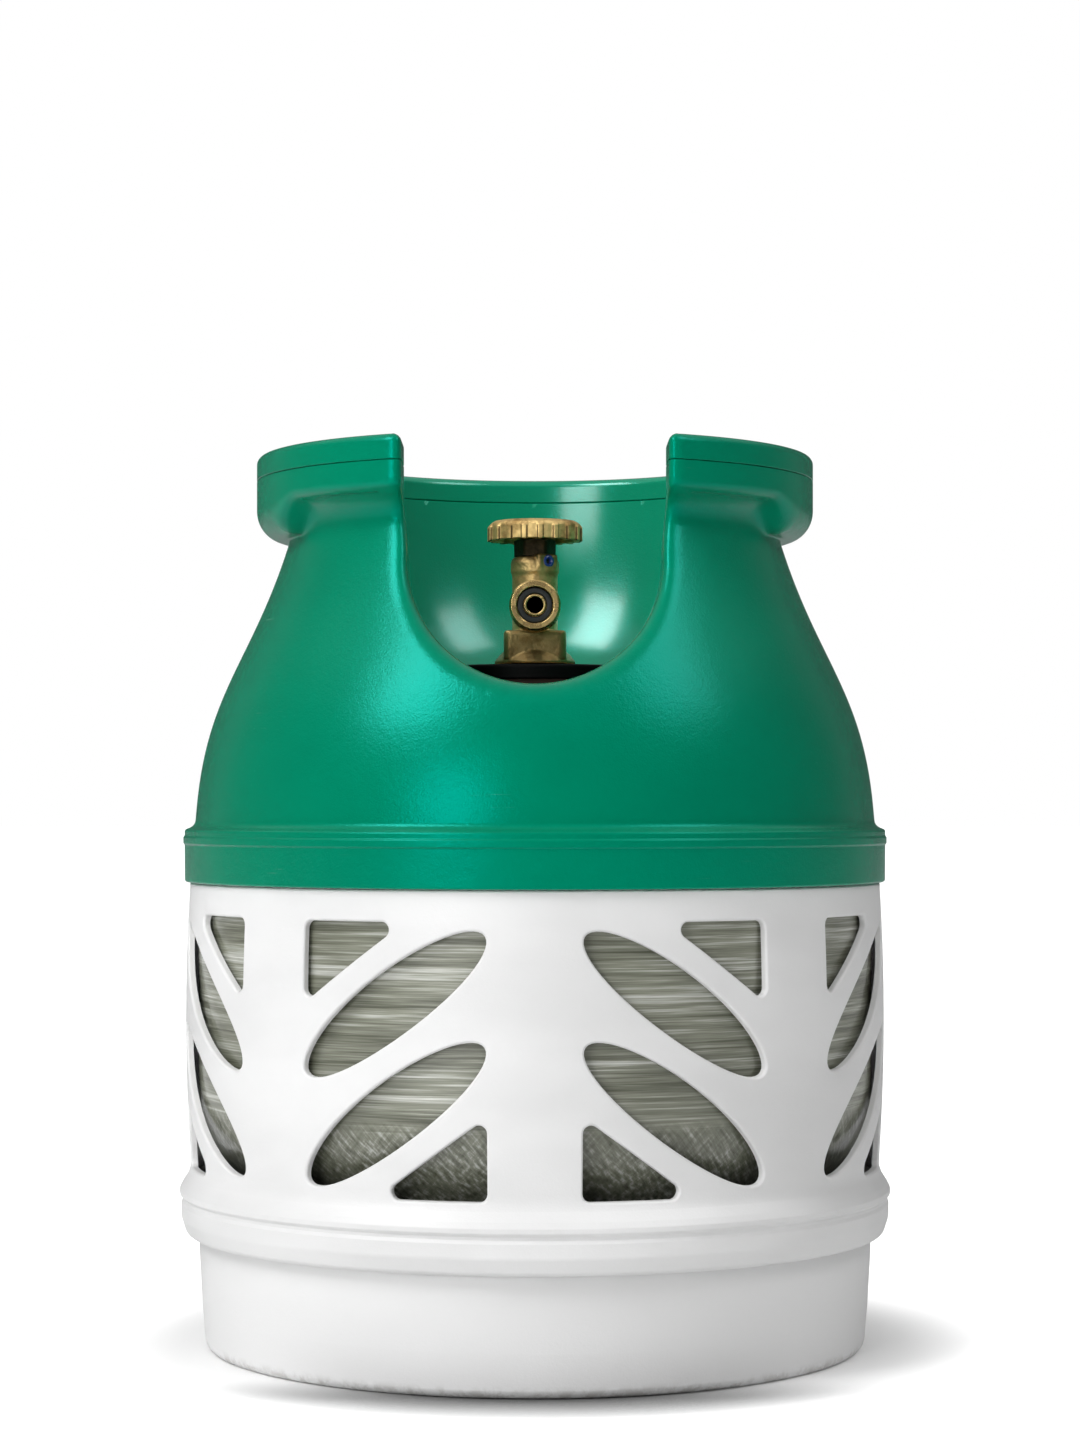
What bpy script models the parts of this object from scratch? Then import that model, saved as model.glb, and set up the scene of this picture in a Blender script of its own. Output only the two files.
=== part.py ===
"""Propane tank: a wound composite gas vessel in a two-colour plastic casing, with a brass valve.

Metres, +Z up, origin at the centre of the foot, valve outlet facing -Y.
"""
import math

import bmesh
import bpy
from mathutils import Matrix, Vector

# ---------------------------------------------------------------- driving dimensions
HEIGHT = 0.380                # floor to the top of the grip ring
GAP = 0.0003                  # clearance kept between touching pieces
WALL = 0.003                  # casing wall
CASING_SIDES = 40             # facets round the big turned pieces
VESSEL_SIDES = 24             # facets round the vessel
VALVE_SIDES = 24              # facets round the valve's turned pieces
CUTTER_TURN = 0.05            # keeps a cutter's facets off the facets that it cuts, in radians

# Composite vessel: a cylinder between two flat-ish domes
VESSEL_R = 0.1445
VESSEL_LOW_Z = 0.113          # lower end of the straight cylinder
VESSEL_HIGH_Z = 0.192         # upper end of the straight cylinder
LOWER_DOME = 0.085            # depth of each dome
UPPER_DOME = 0.097
DOME_ANGLE = 75.0             # degrees up each dome that the liner's outline reaches
DOME_STEPS = 4
SHELL_THICKNESS = 0.004
LINER_THICKNESS = 0.003

# Base cup
FOOT_R = 0.1388               # outer edge of the flat foot
FOOT_INNER_R = 0.1325
CUP_R = 0.1441                # outer radius where the cup enters the sleeve
CUP_TOP_Z = 0.070
CUP_FLOOR_Z = 0.012
SEAT_R = 0.063                # ring that carries the vessel's lower dome

# Middle sleeve
SLEEVE_R = 0.1498             # widest point of the slightly barrelled wall
SLEEVE_MID_Z = 0.140
SLEEVE_BARREL = 0.0020        # radius lost over SLEEVE_BARREL_RUN
SLEEVE_BARREL_RUN = 0.060
SLEEVE_LOW_Z = 0.0488
SLEEVE_TOP_Z = 0.216
TUCK_WALL = 0.0022            # sleeve wall where it tucks inside the green band
RING_R = 0.1525               # lower ring, the widest part of the object
RING_TOP_Z = 0.0735

# Windows in the sleeve: eight groups, each with two leaning ellipses and two triangles
WINDOW_GROUPS = 8
WINDOW_MIDDLE_Z = 0.1315
ELLIPSE_LONG = 0.0477
ELLIPSE_SHORT = 0.0125
ELLIPSE_LEAN = math.radians(35)
ELLIPSE_SIDES = 10
ELLIPSE_RISE = 0.0215         # height of each ellipse's centre over or under the middle
TRIANGLE_NEAR = 0.0005        # corner distances from the group's centre line
TRIANGLE_FAR = 0.0400
TRIANGLE_LOW = 0.0245         # heights over or under the middle
TRIANGLE_HIGH = 0.0540

# Top casing: band, bell, neck and grip flange
BAND_R = 0.1504
BAND_LOW_Z = 0.1984
BAND_HIGH_Z = 0.2185
SHOULDER = (0.1454, 0.2290)   # bell outline, a Bezier curve from shoulder to neck
SHOULDER_PULL = (0.1410, 0.2805)
NECK_PULL = (0.1219, 0.2917)
NECK = (0.1058, 0.3433)
BELL_STEPS = 5
RIM_R = 0.1196
RIM_INNER_R = 0.0875
SEAM_Z = 0.3694               # joint between top casing and grip cap
SIDE_LIP_Z = 0.3480           # underside of the deep finger lip at the sides and back
FRONT_LIP_Z = 0.3590          # underside of the shallow lip beside the opening
LIP_STEP_START = math.radians(54)
LIP_STEP_END = math.radians(70)
WELL_HOLE_R = 0.058           # hole in the well's floor, round the neck collar

# U-shaped opening in front of the valve
OPENING_R = 0.0515
OPENING_CENTRE_Z = 0.3305
OPENING_TOP_HALF = 0.0535

# Neck
NECK_BORE_R = 0.0133
BOSS_R = 0.0215
BOSS_FLANGE_R = 0.0345
BOSS_TOP_Z = 0.2897
COLLAR_R = 0.047
COLLAR_TOP_Z = 0.2902

# Valve
STEM_R = 0.0130
STEM_LOW_Z = 0.2700
SKIRT_R = 0.0175
SKIRT_LOW_Z = 0.2917
BLOCK_LOW_Z = 0.2945
BLOCK_HIGH_Z = 0.3060
BLOCK_WIDTH = 0.0268
COLUMN_R = 0.0098
BULGE_R = 0.0104
BULGE_Z = 0.3335
BODY_TOP_Z = 0.3380
CHAMBER_R = 0.0070
CHAMBER_LOW_Z = 0.3122
INLET_R = 0.0042
OUTLET_Z = 0.3154
OUTLET_FACE_Y = -0.0350
OUTLET_R = 0.0109
OUTLET_FACE_R = 0.0102
SEAL_R = 0.0078
NOZZLE_R = 0.0048
NOZZLE_BORE_R = 0.0035
PLUG_LIFT = 0.0030            # travel of the valve plug from shut to open
GLAND_LOW_Z = 0.3292
GLAND_BORE_R = 0.0042
GLAND_HEAD_R = 0.0090
THRUST_LOW_Z = 0.3283         # thrust washer between the gland nut and the spindle's collar
SPINDLE_R = 0.0037
SPINDLE_COLLAR_R = 0.0060
SPINDLE_COLLAR_Z = 0.3262
WHEEL_R = 0.0205
WHEEL_LOW_Z = 0.3448
WHEEL_HIGH_Z = 0.3535
WHEEL_RIBS = 18
LOCK_SCREW_ANGLE = math.radians(36)
LOCK_SCREW_Z = 0.3358

# Relief valve, upright behind the column
RELIEF_Y = 0.0195
RELIEF_R = 0.0082
RELIEF_BORE_R = 0.0058
RELIEF_INLET_R = 0.0028
RELIEF_SEAT_Z = 0.3005
RELIEF_TOP_Z = 0.3200

# ---------------------------------------------------------------- colours: RGB, roughness, metallic
GREEN = ((0.0, 0.19, 0.115), 0.40, 0.0)
WHITE = ((0.82, 0.82, 0.82), 0.45, 0.0)
FIBRE = ((0.42, 0.43, 0.36), 0.30, 0.0)
NATURAL = ((0.78, 0.78, 0.74), 0.50, 0.0)
BRASS = ((0.50, 0.36, 0.15), 0.35, 1.0)
STEEL = ((0.50, 0.50, 0.50), 0.35, 1.0)
DARK_BRASS = ((0.08, 0.06, 0.03), 0.45, 1.0)
BLACK = ((0.015, 0.015, 0.015), 0.45, 0.0)
RUBBER = ((0.010, 0.010, 0.010), 0.65, 0.0)
BLUE = ((0.01, 0.02, 0.40), 0.35, 0.0)


def clear_scene():
    """Remove every object of the open scene."""
    for item in list(bpy.data.objects):
        bpy.data.objects.remove(item, do_unlink=True)


def material(name, look):
    """Return a Principled material with the given colour, roughness and metallic value."""
    colour, roughness, metallic = look
    made = bpy.data.materials.new(name)
    made.use_nodes = True
    shader = made.node_tree.nodes["Principled BSDF"]
    shader.inputs["Base Color"].default_value = (*colour, 1.0)
    shader.inputs["Roughness"].default_value = roughness
    shader.inputs["Metallic"].default_value = metallic
    return made


def add_object(name, mesh, look, location=(0.0, 0.0, 0.0)):
    """Link a mesh as a named, smooth-shaded object with its own material."""
    item = bpy.data.objects.new(name, mesh)
    bpy.context.scene.collection.objects.link(item)
    item.location = location
    if look is not None:
        mesh.materials.append(material(name, look))
        mesh.shade_smooth()
        mesh.set_sharp_from_angle(angle=math.radians(35))
    return item


def finish_mesh(name, shape):
    """Turn the faces of a bmesh outwards and store it as a mesh."""
    bmesh.ops.recalc_face_normals(shape, faces=shape.faces)
    mesh = bpy.data.meshes.new(name)
    shape.to_mesh(mesh)
    shape.free()
    return mesh


def turned_mesh(name, outline, sides, turn=0.0):
    """Turn a closed (radius, height) outline round the Z axis.

    outline is a list, or a function of the angle from the front that returns one.
    Points with radius zero lie on the axis and become a single vertex.
    """
    shape = bmesh.new()
    rings = []
    for step in range(sides):
        angle = 2.0 * math.pi * step / sides + turn
        points = outline(angle) if callable(outline) else outline
        ring = []
        for index, (radius, height) in enumerate(points):
            if radius == 0.0 and rings:
                ring.append(rings[0][index])
                continue
            place = (radius * math.sin(angle), -radius * math.cos(angle), height)
            ring.append(shape.verts.new(place))
        rings.append(ring)
    count = len(rings[0])
    for step in range(sides):
        here = rings[step]
        there = rings[(step + 1) % sides]
        for index in range(count):
            after = (index + 1) % count
            corners = []
            for vertex in (here[index], here[after], there[after], there[index]):
                if vertex not in corners:
                    corners.append(vertex)
            if len(corners) > 2:
                shape.faces.new(corners)
    return finish_mesh(name, shape)


def prism_mesh(name, outline, place):
    """Build a prism from a 2-D outline; place(x, y, end) puts each corner for end 0 and end 1."""
    shape = bmesh.new()
    ends = [[shape.verts.new(place(x, y, end)) for x, y in outline] for end in (0, 1)]
    count = len(outline)
    for index in range(count):
        after = (index + 1) % count
        shape.faces.new((ends[0][index], ends[0][after], ends[1][after], ends[1][index]))
    shape.faces.new(ends[0])
    shape.faces.new(reversed(ends[1]))
    return finish_mesh(name, shape)


def arc(centre_x, centre_y, radius_x, radius_y, start, end, steps):
    """Points along an elliptical arc, angles in degrees."""
    points = []
    for step in range(steps + 1):
        angle = math.radians(start + (end - start) * step / steps)
        points.append((centre_x + radius_x * math.cos(angle), centre_y + radius_y * math.sin(angle)))
    return points


def bezier(start, start_pull, end_pull, end, steps):
    """Points along a cubic Bezier curve."""
    points = []
    for step in range(steps + 1):
        t = step / steps
        weights = ((1 - t) ** 3, 3 * t * (1 - t) ** 2, 3 * t * t * (1 - t), t ** 3)
        corners = (start, start_pull, end_pull, end)
        points.append(tuple(sum(w * c[axis] for w, c in zip(weights, corners)) for axis in (0, 1)))
    return points


def shift(points, across):
    """Move a list of outline points outwards."""
    return [(radius + across, height) for radius, height in points]


def smooth_step(value, low, high):
    """0 below low, 1 above high, with a smooth rise between."""
    t = min(max((value - low) / (high - low), 0.0), 1.0)
    return t * t * (3.0 - 2.0 * t)


def cutter(name, mesh):
    """Make a hidden wire object that other objects are cut with."""
    item = add_object(name, mesh, None)
    item.display_type = "WIRE"
    item.hide_render = True
    return item


def add_boolean(item, other, operation="DIFFERENCE"):
    """Cut, join or intersect an object with another by an exact Boolean."""
    modifier = item.modifiers.new(operation.title() + " " + other.name, "BOOLEAN")
    modifier.operation = operation
    modifier.solver = "EXACT"
    modifier.object = other


# ---------------------------------------------------------------- vessel
def upper_dome_z(radius, inset=0.0):
    """Height of the upper dome at a radius, for the vessel's outside or a layer inside it."""
    return VESSEL_HIGH_Z + (UPPER_DOME - inset) * math.sqrt(1.0 - (radius / (VESSEL_R - inset)) ** 2)


def lower_dome_z(radius):
    """Height of the vessel's lower dome at a radius."""
    return VESSEL_LOW_Z - LOWER_DOME * math.sqrt(1.0 - (radius / VESSEL_R) ** 2)


def vessel_outline(inset):
    """Open outline of the vessel from the bottom's axis up to DOME_ANGLE on the upper dome.

    Every layer has its points at the same angles, so that nested layers keep their clearance.
    """
    radius = VESSEL_R - inset
    points = [(0.0, VESSEL_LOW_Z - LOWER_DOME + inset)]
    points += arc(0.0, VESSEL_LOW_Z, radius, LOWER_DOME - inset, -DOME_ANGLE, 0, DOME_STEPS)
    points += arc(0.0, VESSEL_HIGH_Z, radius, UPPER_DOME - inset, 0, DOME_ANGLE, DOME_STEPS)
    return points


def build_vessel():
    """Composite shell, plastic liner, neck boss, seal and collar."""
    hole_r = BOSS_R + GAP
    shell = vessel_outline(0.0)
    shell += [(hole_r, upper_dome_z(hole_r, inset)) for inset in (0.0, SHELL_THICKNESS)]
    shell += vessel_outline(SHELL_THICKNESS)[::-1]
    add_object("composite_shell", turned_mesh("composite_shell", shell, VESSEL_SIDES), FIBRE)

    liner = vessel_outline(SHELL_THICKNESS + GAP)
    liner += vessel_outline(SHELL_THICKNESS + GAP + LINER_THICKNESS)[::-1]
    add_object("liner", turned_mesh("liner", liner, VESSEL_SIDES), NATURAL)

    flange_low_z = 0.2785
    flange_high_z = 0.2813
    boss = [(NECK_BORE_R, flange_low_z), (BOSS_FLANGE_R, flange_low_z), (BOSS_FLANGE_R, flange_high_z),
            (BOSS_R, flange_high_z + 0.0008), (BOSS_R, BOSS_TOP_Z), (NECK_BORE_R, BOSS_TOP_Z)]
    add_object("neck_boss", turned_mesh("neck_boss", boss, VALVE_SIDES), BRASS)

    seal_high_z = SKIRT_LOW_Z - GAP
    seal_low_z = BOSS_TOP_Z + GAP
    seal = [(NECK_BORE_R + 0.0002, seal_low_z), (0.0170, seal_low_z),
            (0.0170, seal_high_z), (NECK_BORE_R + 0.0002, seal_high_z)]
    add_object("neck_seal", turned_mesh("neck_seal", seal, VALVE_SIDES), RUBBER)

    inner_r = BOSS_R + GAP
    edge = 0.0008
    collar = [(radius, upper_dome_z(radius) + GAP) for radius in (inner_r, 0.035, COLLAR_R)]
    collar += [(COLLAR_R, COLLAR_TOP_Z - edge),
              (COLLAR_R - edge, COLLAR_TOP_Z), (inner_r, COLLAR_TOP_Z)]
    add_object("neck_collar", turned_mesh("neck_collar", collar, 32), BLACK)


# ---------------------------------------------------------------- casing
def build_base_cup():
    """Inset cup that forms the foot and carries the vessel on a seat ring."""
    seat_low = SEAT_R - 0.003
    seat_high = SEAT_R + 0.003
    floor_top = CUP_FLOOR_Z + WALL
    seat_outer_z = lower_dome_z(seat_high) - 2 * GAP
    seat_inner_z = lower_dome_z(seat_low) - 2 * GAP
    drain_r = 0.040
    outline = [(FOOT_INNER_R, 0.0), (FOOT_R, 0.0), (FOOT_R + 0.0028, 0.003),
               (CUP_R, 0.041), (CUP_R, CUP_TOP_Z), (CUP_R - WALL, CUP_TOP_Z),
               (FOOT_R + 0.0008, floor_top), (seat_high, floor_top), (seat_high, seat_outer_z),
               (seat_low, seat_inner_z), (seat_low, floor_top), (drain_r, floor_top),
               (drain_r, CUP_FLOOR_Z), (FOOT_INNER_R, CUP_FLOOR_Z)]
    add_object("base_cup", turned_mesh("base_cup", outline, CASING_SIDES), WHITE)


def sleeve_radius(height):
    """Outer radius of the barrelled sleeve wall."""
    return SLEEVE_R - SLEEVE_BARREL * ((height - SLEEVE_MID_Z) / SLEEVE_BARREL_RUN) ** 2


def window_outlines():
    """Outlines of one group's four windows: (along the wall, over the middle)."""
    outlines = []
    for side in (1, -1):
        ellipse = []
        for step in range(ELLIPSE_SIDES):
            angle = 2.0 * math.pi * (step + 0.5) / ELLIPSE_SIDES
            along = ELLIPSE_LONG * math.cos(angle)
            over = ELLIPSE_SHORT * math.sin(angle)
            x = along * math.cos(ELLIPSE_LEAN) + over * math.sin(ELLIPSE_LEAN)
            y = over * math.cos(ELLIPSE_LEAN) - along * math.sin(ELLIPSE_LEAN)
            ellipse.append((x, y + side * ELLIPSE_RISE))
        outlines.append(ellipse)
        cut = 0.004
        slope = math.tan(ELLIPSE_LEAN)
        corner = [(TRIANGLE_NEAR + cut, TRIANGLE_HIGH), (TRIANGLE_FAR - cut / 2, TRIANGLE_HIGH),
                  (TRIANGLE_FAR, TRIANGLE_HIGH - cut / 2), (TRIANGLE_FAR, TRIANGLE_LOW + cut * slope),
                  (TRIANGLE_FAR - cut * 0.7, TRIANGLE_LOW + cut * slope * 0.8),
                  (TRIANGLE_NEAR + cut, TRIANGLE_HIGH - cut * slope * 0.5)]
        outlines.append([(side * x, side * y) for x, y in corner])
    return outlines


def window_cutter():
    """All the windows of the sleeve as radial prisms in one object."""
    shape = bmesh.new()
    for group in range(WINDOW_GROUPS):
        middle = (group + 0.5) * 2.0 * math.pi / WINDOW_GROUPS
        mirror = 1 if group % 2 == 0 else -1

        def place(x, y, end, middle=middle, mirror=mirror):
            radius = SLEEVE_R + (0.014 if end else -0.008)
            angle = middle + mirror * x / SLEEVE_R
            return (radius * math.sin(angle), -radius * math.cos(angle), WINDOW_MIDDLE_Z + y)

        for outline in window_outlines():
            mesh = prism_mesh("window", outline, place)
            shape.from_mesh(mesh)
            bpy.data.meshes.remove(mesh)
    return cutter("window_cutter", finish_mesh("window_cutter", shape))


def build_middle_sleeve():
    """White sleeve with windows and the wide lower ring."""
    inner_low_r = CUP_R + 2 * GAP
    bead_z = 0.0670
    outline = [(inner_low_r, SLEEVE_LOW_Z + 0.001), (RING_R - 0.0035, SLEEVE_LOW_Z),
               (RING_R - 0.0010, SLEEVE_LOW_Z + 0.004), (RING_R - 0.0006, bead_z - 0.004),
               (RING_R, bead_z), (RING_R - 0.002, RING_TOP_Z)]
    wall_heights = (0.0765, 0.140, 0.196)
    outline += [(sleeve_radius(z), z) for z in wall_heights]
    tuck_r = BAND_R - WALL - 2 * GAP
    outline += [(tuck_r, BAND_LOW_Z), (tuck_r, SLEEVE_TOP_Z), (tuck_r - TUCK_WALL, SLEEVE_TOP_Z),
                (tuck_r - TUCK_WALL, BAND_LOW_Z)]
    outline += [(sleeve_radius(z) - WALL, z) for z in wall_heights[:0:-1]]
    outline += [(inner_low_r, 0.078)]
    sleeve = add_object("middle_sleeve", turned_mesh("middle_sleeve", outline, CASING_SIDES), WHITE)
    add_boolean(sleeve, window_cutter())


def lip_underside(angle):
    """Height of the grip flange's underside at an angle from the front."""
    turn = abs(math.remainder(angle, 2.0 * math.pi))
    return FRONT_LIP_Z + (SIDE_LIP_Z - FRONT_LIP_Z) * smooth_step(turn, LIP_STEP_START, LIP_STEP_END)


def well_outline():
    """The well's wall from the rim down to the hole round the collar."""
    return [(RIM_INNER_R, SEAM_Z), (0.0868, 0.345), (0.0835, 0.322), (0.0760, 0.303),
            (0.0670, 0.2915), (WELL_HOLE_R, 0.2858)]


def top_casing_outline(angle):
    """Closed section of the top casing, solid between its outer and inner skins."""
    lip = lip_underside(angle)
    inner_r = VESSEL_R + 0.0014
    outline = [(inner_r, BAND_LOW_Z), (BAND_R, BAND_LOW_Z), (BAND_R + 0.0006, BAND_HIGH_Z - 0.003),
               (BAND_R - 0.0015, BAND_HIGH_Z + 0.002)]
    outline += bezier(SHOULDER, SHOULDER_PULL, NECK_PULL, NECK, BELL_STEPS)
    outline += [(NECK[0] + 0.004, lip - 0.002), (RIM_R - 0.004, lip + 0.001), (RIM_R, lip + 0.007),
                (RIM_R, SEAM_Z)]
    outline += well_outline()
    outline += [(radius, upper_dome_z(radius) + 0.001) for radius in (WELL_HOLE_R, 0.080, 0.105, 0.128)]
    outline += [(inner_r, BAND_HIGH_Z)]
    return outline


def hollow_outline():
    """Closed section of the space between the top casing's skins, open downwards."""
    bell = shift(bezier(SHOULDER, SHOULDER_PULL, NECK_PULL, NECK, BELL_STEPS), -WALL)
    grip_low_z = 0.3625
    roof_z = SEAM_Z - WALL
    outline = [(BAND_R - WALL, BAND_LOW_Z - 0.01), (BAND_R - WALL, BAND_HIGH_Z - 0.001)]
    outline += bell
    outline += [(NECK[0] - WALL, grip_low_z), (RIM_R - WALL, grip_low_z), (RIM_R - WALL, roof_z),
                (RIM_INNER_R + WALL, roof_z), (0.0898, 0.345), (0.0866, 0.321), (0.0792, 0.301),
                (0.0715, 0.2905), (0.0700, 0.250), (0.110, 0.220), (0.1350, BAND_LOW_Z - 0.01)]
    return outline


def opening_outline(spread):
    """U outline of the valve opening, grown outwards by spread: (x, z) points."""
    radius = OPENING_R + spread
    top_z = HEIGHT + 0.02
    points = arc(0.0, OPENING_CENTRE_Z, radius, radius, 180, 360, 14)
    points += [(OPENING_TOP_HALF + spread, HEIGHT - 0.01), (OPENING_TOP_HALF + spread, top_z),
               (-OPENING_TOP_HALF - spread, top_z), (-OPENING_TOP_HALF - spread, HEIGHT - 0.01)]
    return points


def opening_cutter(name, spread):
    """Prism that runs from the axis out through the front of the casing."""
    def place(x, z, end):
        return (x, -0.2 if end else -0.010, z)
    return cutter(name, prism_mesh(name, opening_outline(spread), place))


def build_top_casing():
    """Double-skinned green top with the U-shaped opening, and the grip cap over its flange."""
    opening = opening_cutter("opening_cutter", 0.0)
    opening_wall = opening_cutter("opening_wall_cutter", WALL)
    hollow = cutter("hollow_cutter", turned_mesh("hollow_cutter", hollow_outline(), CASING_SIDES))
    add_boolean(hollow, opening_wall)

    casing = add_object("top_casing", turned_mesh("top_casing", top_casing_outline, CASING_SIDES), GREEN)
    add_boolean(casing, hollow)
    add_boolean(casing, opening)

    cap_low_z = SEAM_Z + GAP
    outline = [(RIM_INNER_R, cap_low_z), (RIM_R, cap_low_z), (RIM_R, HEIGHT - 0.0045),
               (RIM_R - 0.0014, HEIGHT - 0.0013), (RIM_R - 0.0050, HEIGHT), (RIM_INNER_R + 0.0050, HEIGHT),
               (RIM_INNER_R + 0.0014, HEIGHT - 0.0013), (RIM_INNER_R, HEIGHT - 0.0045)]
    cap = add_object("grip_cap", turned_mesh("grip_cap", outline, CASING_SIDES), GREEN)
    add_boolean(cap, opening)


# ---------------------------------------------------------------- valve
def stepped_cutter(name, small_r, low_z, large_r, step_z, high_z, sides):
    """Upright cutter for a bore that widens at step_z."""
    outline = [(0.0, low_z), (small_r, low_z), (small_r, step_z), (large_r, step_z), (large_r, high_z),
               (0.0, high_z)]
    return cutter(name, turned_mesh(name, outline, sides, CUTTER_TURN))


def lay_forward(mesh, height):
    """Turn a piece built up the Z axis so that it points to -Y, on the outlet's axis."""
    mesh.transform(Matrix.Translation((0.0, 0.0, height)) @ Matrix.Rotation(math.radians(90), 4, "X"))
    return mesh


def build_valve_body():
    """Brass body: neck stem, skirt, wrench block, column, outlet and relief housing."""
    outline = [(0.0, STEM_LOW_Z), (STEM_R - 0.001, STEM_LOW_Z), (STEM_R, STEM_LOW_Z + 0.001),
               (STEM_R, SKIRT_LOW_Z), (SKIRT_R, SKIRT_LOW_Z), (SKIRT_R, SKIRT_LOW_Z + 0.0015),
               (SKIRT_R - 0.002, BLOCK_LOW_Z + 0.0012), (COLUMN_R, BLOCK_LOW_Z + 0.002),
               (COLUMN_R, BULGE_Z - 0.001), (BULGE_R, BULGE_Z), (BULGE_R, BODY_TOP_Z - 0.001),
               (BULGE_R - 0.001, BODY_TOP_Z), (0.0, BODY_TOP_Z)]
    body = add_object("valve_body", turned_mesh("valve_body", outline, VALVE_SIDES), BRASS)

    half = BLOCK_WIDTH / 2
    corner = 0.0035
    square = []
    for quarter in range(4):
        turn = Matrix.Rotation(math.radians(90 * quarter), 2)
        for point in ((half, -half + corner), (half, half - corner)):
            square.append(tuple(turn @ Vector(point)))

    def block_place(x, y, end):
        return (x, y, BLOCK_HIGH_Z if end else BLOCK_LOW_Z - 0.0005)
    add_boolean(body, cutter("block_join", prism_mesh("block_join", square, block_place)), "UNION")

    relief_outline = [(0.0, BLOCK_LOW_Z + 0.0010), (RELIEF_R, BLOCK_LOW_Z + 0.0010),
                      (RELIEF_R, RELIEF_TOP_Z), (0.0, RELIEF_TOP_Z)]
    relief = cutter("relief_join", turned_mesh("relief_join", relief_outline, 16))
    relief.location = (0.0, RELIEF_Y, 0.0)
    add_boolean(body, relief, "UNION")

    depth = -OUTLET_FACE_Y
    outlet_outline = [(0.0, 0.002), (COLUMN_R - 0.0008, 0.002), (COLUMN_R - 0.0008, 0.0165),
                      (OUTLET_R, 0.0180), (OUTLET_R, depth - 0.0016), (OUTLET_FACE_R, depth), (0.0, depth)]
    outlet_mesh = lay_forward(turned_mesh("outlet_join", outlet_outline, VALVE_SIDES), OUTLET_Z)
    add_boolean(body, cutter("outlet_join", outlet_mesh), "UNION")

    cuts = [stepped_cutter("main_bore", INLET_R, STEM_LOW_Z - 0.01, CHAMBER_R, CHAMBER_LOW_Z,
                           BODY_TOP_Z + 0.01, VALVE_SIDES),
            stepped_cutter("relief_bore", RELIEF_INLET_R, RELIEF_SEAT_Z - 0.003, RELIEF_BORE_R, RELIEF_SEAT_Z,
                           RELIEF_TOP_Z + 0.01, 16)]
    cuts[1].location = (0.0, RELIEF_Y, 0.0)
    recess = [(0.0, 0.006), (NOZZLE_R + 0.0001, 0.006), (NOZZLE_R + 0.0001, depth - 0.0036),
              (SEAL_R, depth - 0.0036), (SEAL_R, depth + 0.01), (0.0, depth + 0.01)]
    recess_mesh = lay_forward(turned_mesh("outlet_recess", recess, VALVE_SIDES, CUTTER_TURN), OUTLET_Z)
    cuts.append(cutter("outlet_recess", recess_mesh))
    passage = [(0.0, 0.0), (0.0016, 0.0), (0.0016, RELIEF_Y), (0.0, RELIEF_Y)]
    passage_mesh = turned_mesh("relief_passage", passage, 8, CUTTER_TURN)
    passage_mesh.transform(Matrix.Translation((0, 0, RELIEF_SEAT_Z - 0.003))
                           @ Matrix.Rotation(math.radians(-90), 4, "X"))
    cuts.append(cutter("relief_passage", passage_mesh))
    screw_hole = [(0.0, CHAMBER_R - 0.002), (0.0021, CHAMBER_R - 0.002), (0.0021, 0.020), (0.0, 0.020)]
    hole_mesh = turned_mesh("lock_screw_hole", screw_hole, 10, CUTTER_TURN)
    hole_mesh.transform(lock_screw_frame())
    cuts.append(cutter("lock_screw_hole", hole_mesh))
    for cut in cuts:
        add_boolean(body, cut)


def lock_screw_frame():
    """Matrix from the Z axis to the lock screw's radial axis, at the front right."""
    tilt = Matrix.Rotation(math.radians(90), 4, "X")
    return Matrix.Translation((0, 0, LOCK_SCREW_Z)) @ Matrix.Rotation(LOCK_SCREW_ANGLE, 4, "Z") @ tilt


def build_outlet():
    """Nozzle tube and rubber seal in the outlet's face."""
    depth = -OUTLET_FACE_Y
    nozzle_r = NOZZLE_R - 0.0002
    tube = [(NOZZLE_BORE_R, 0.0075), (nozzle_r, 0.0075), (nozzle_r, depth - 0.0006),
            (nozzle_r - 0.0003, depth - 0.0002), (NOZZLE_BORE_R, depth - 0.0002)]
    add_object("outlet_nozzle", lay_forward(turned_mesh("outlet_nozzle", tube, 20), OUTLET_Z), BRASS)
    low = depth - 0.0033
    high = depth - 0.0008
    ring = [(nozzle_r + GAP, low), (SEAL_R - GAP, low), (SEAL_R - GAP, high), (nozzle_r + GAP, high)]
    add_object("outlet_seal", lay_forward(turned_mesh("outlet_seal", ring, VALVE_SIDES), OUTLET_Z), RUBBER)


def hexagon_ring(name, across_flats, bore_r, low_z, high_z):
    """Six-sided nut with a plain round bore and its corners cut back."""
    sides = 18
    corner_cut = 1.13

    def outline(angle):
        wrapped = math.remainder(angle, math.radians(60))
        reach = across_flats / 2 / math.cos(wrapped)
        edge = min(reach, across_flats / 2 * corner_cut)
        return [(bore_r, low_z), (edge, low_z), (edge, high_z), (bore_r, high_z)]
    return turned_mesh(name, outline, sides)


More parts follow.
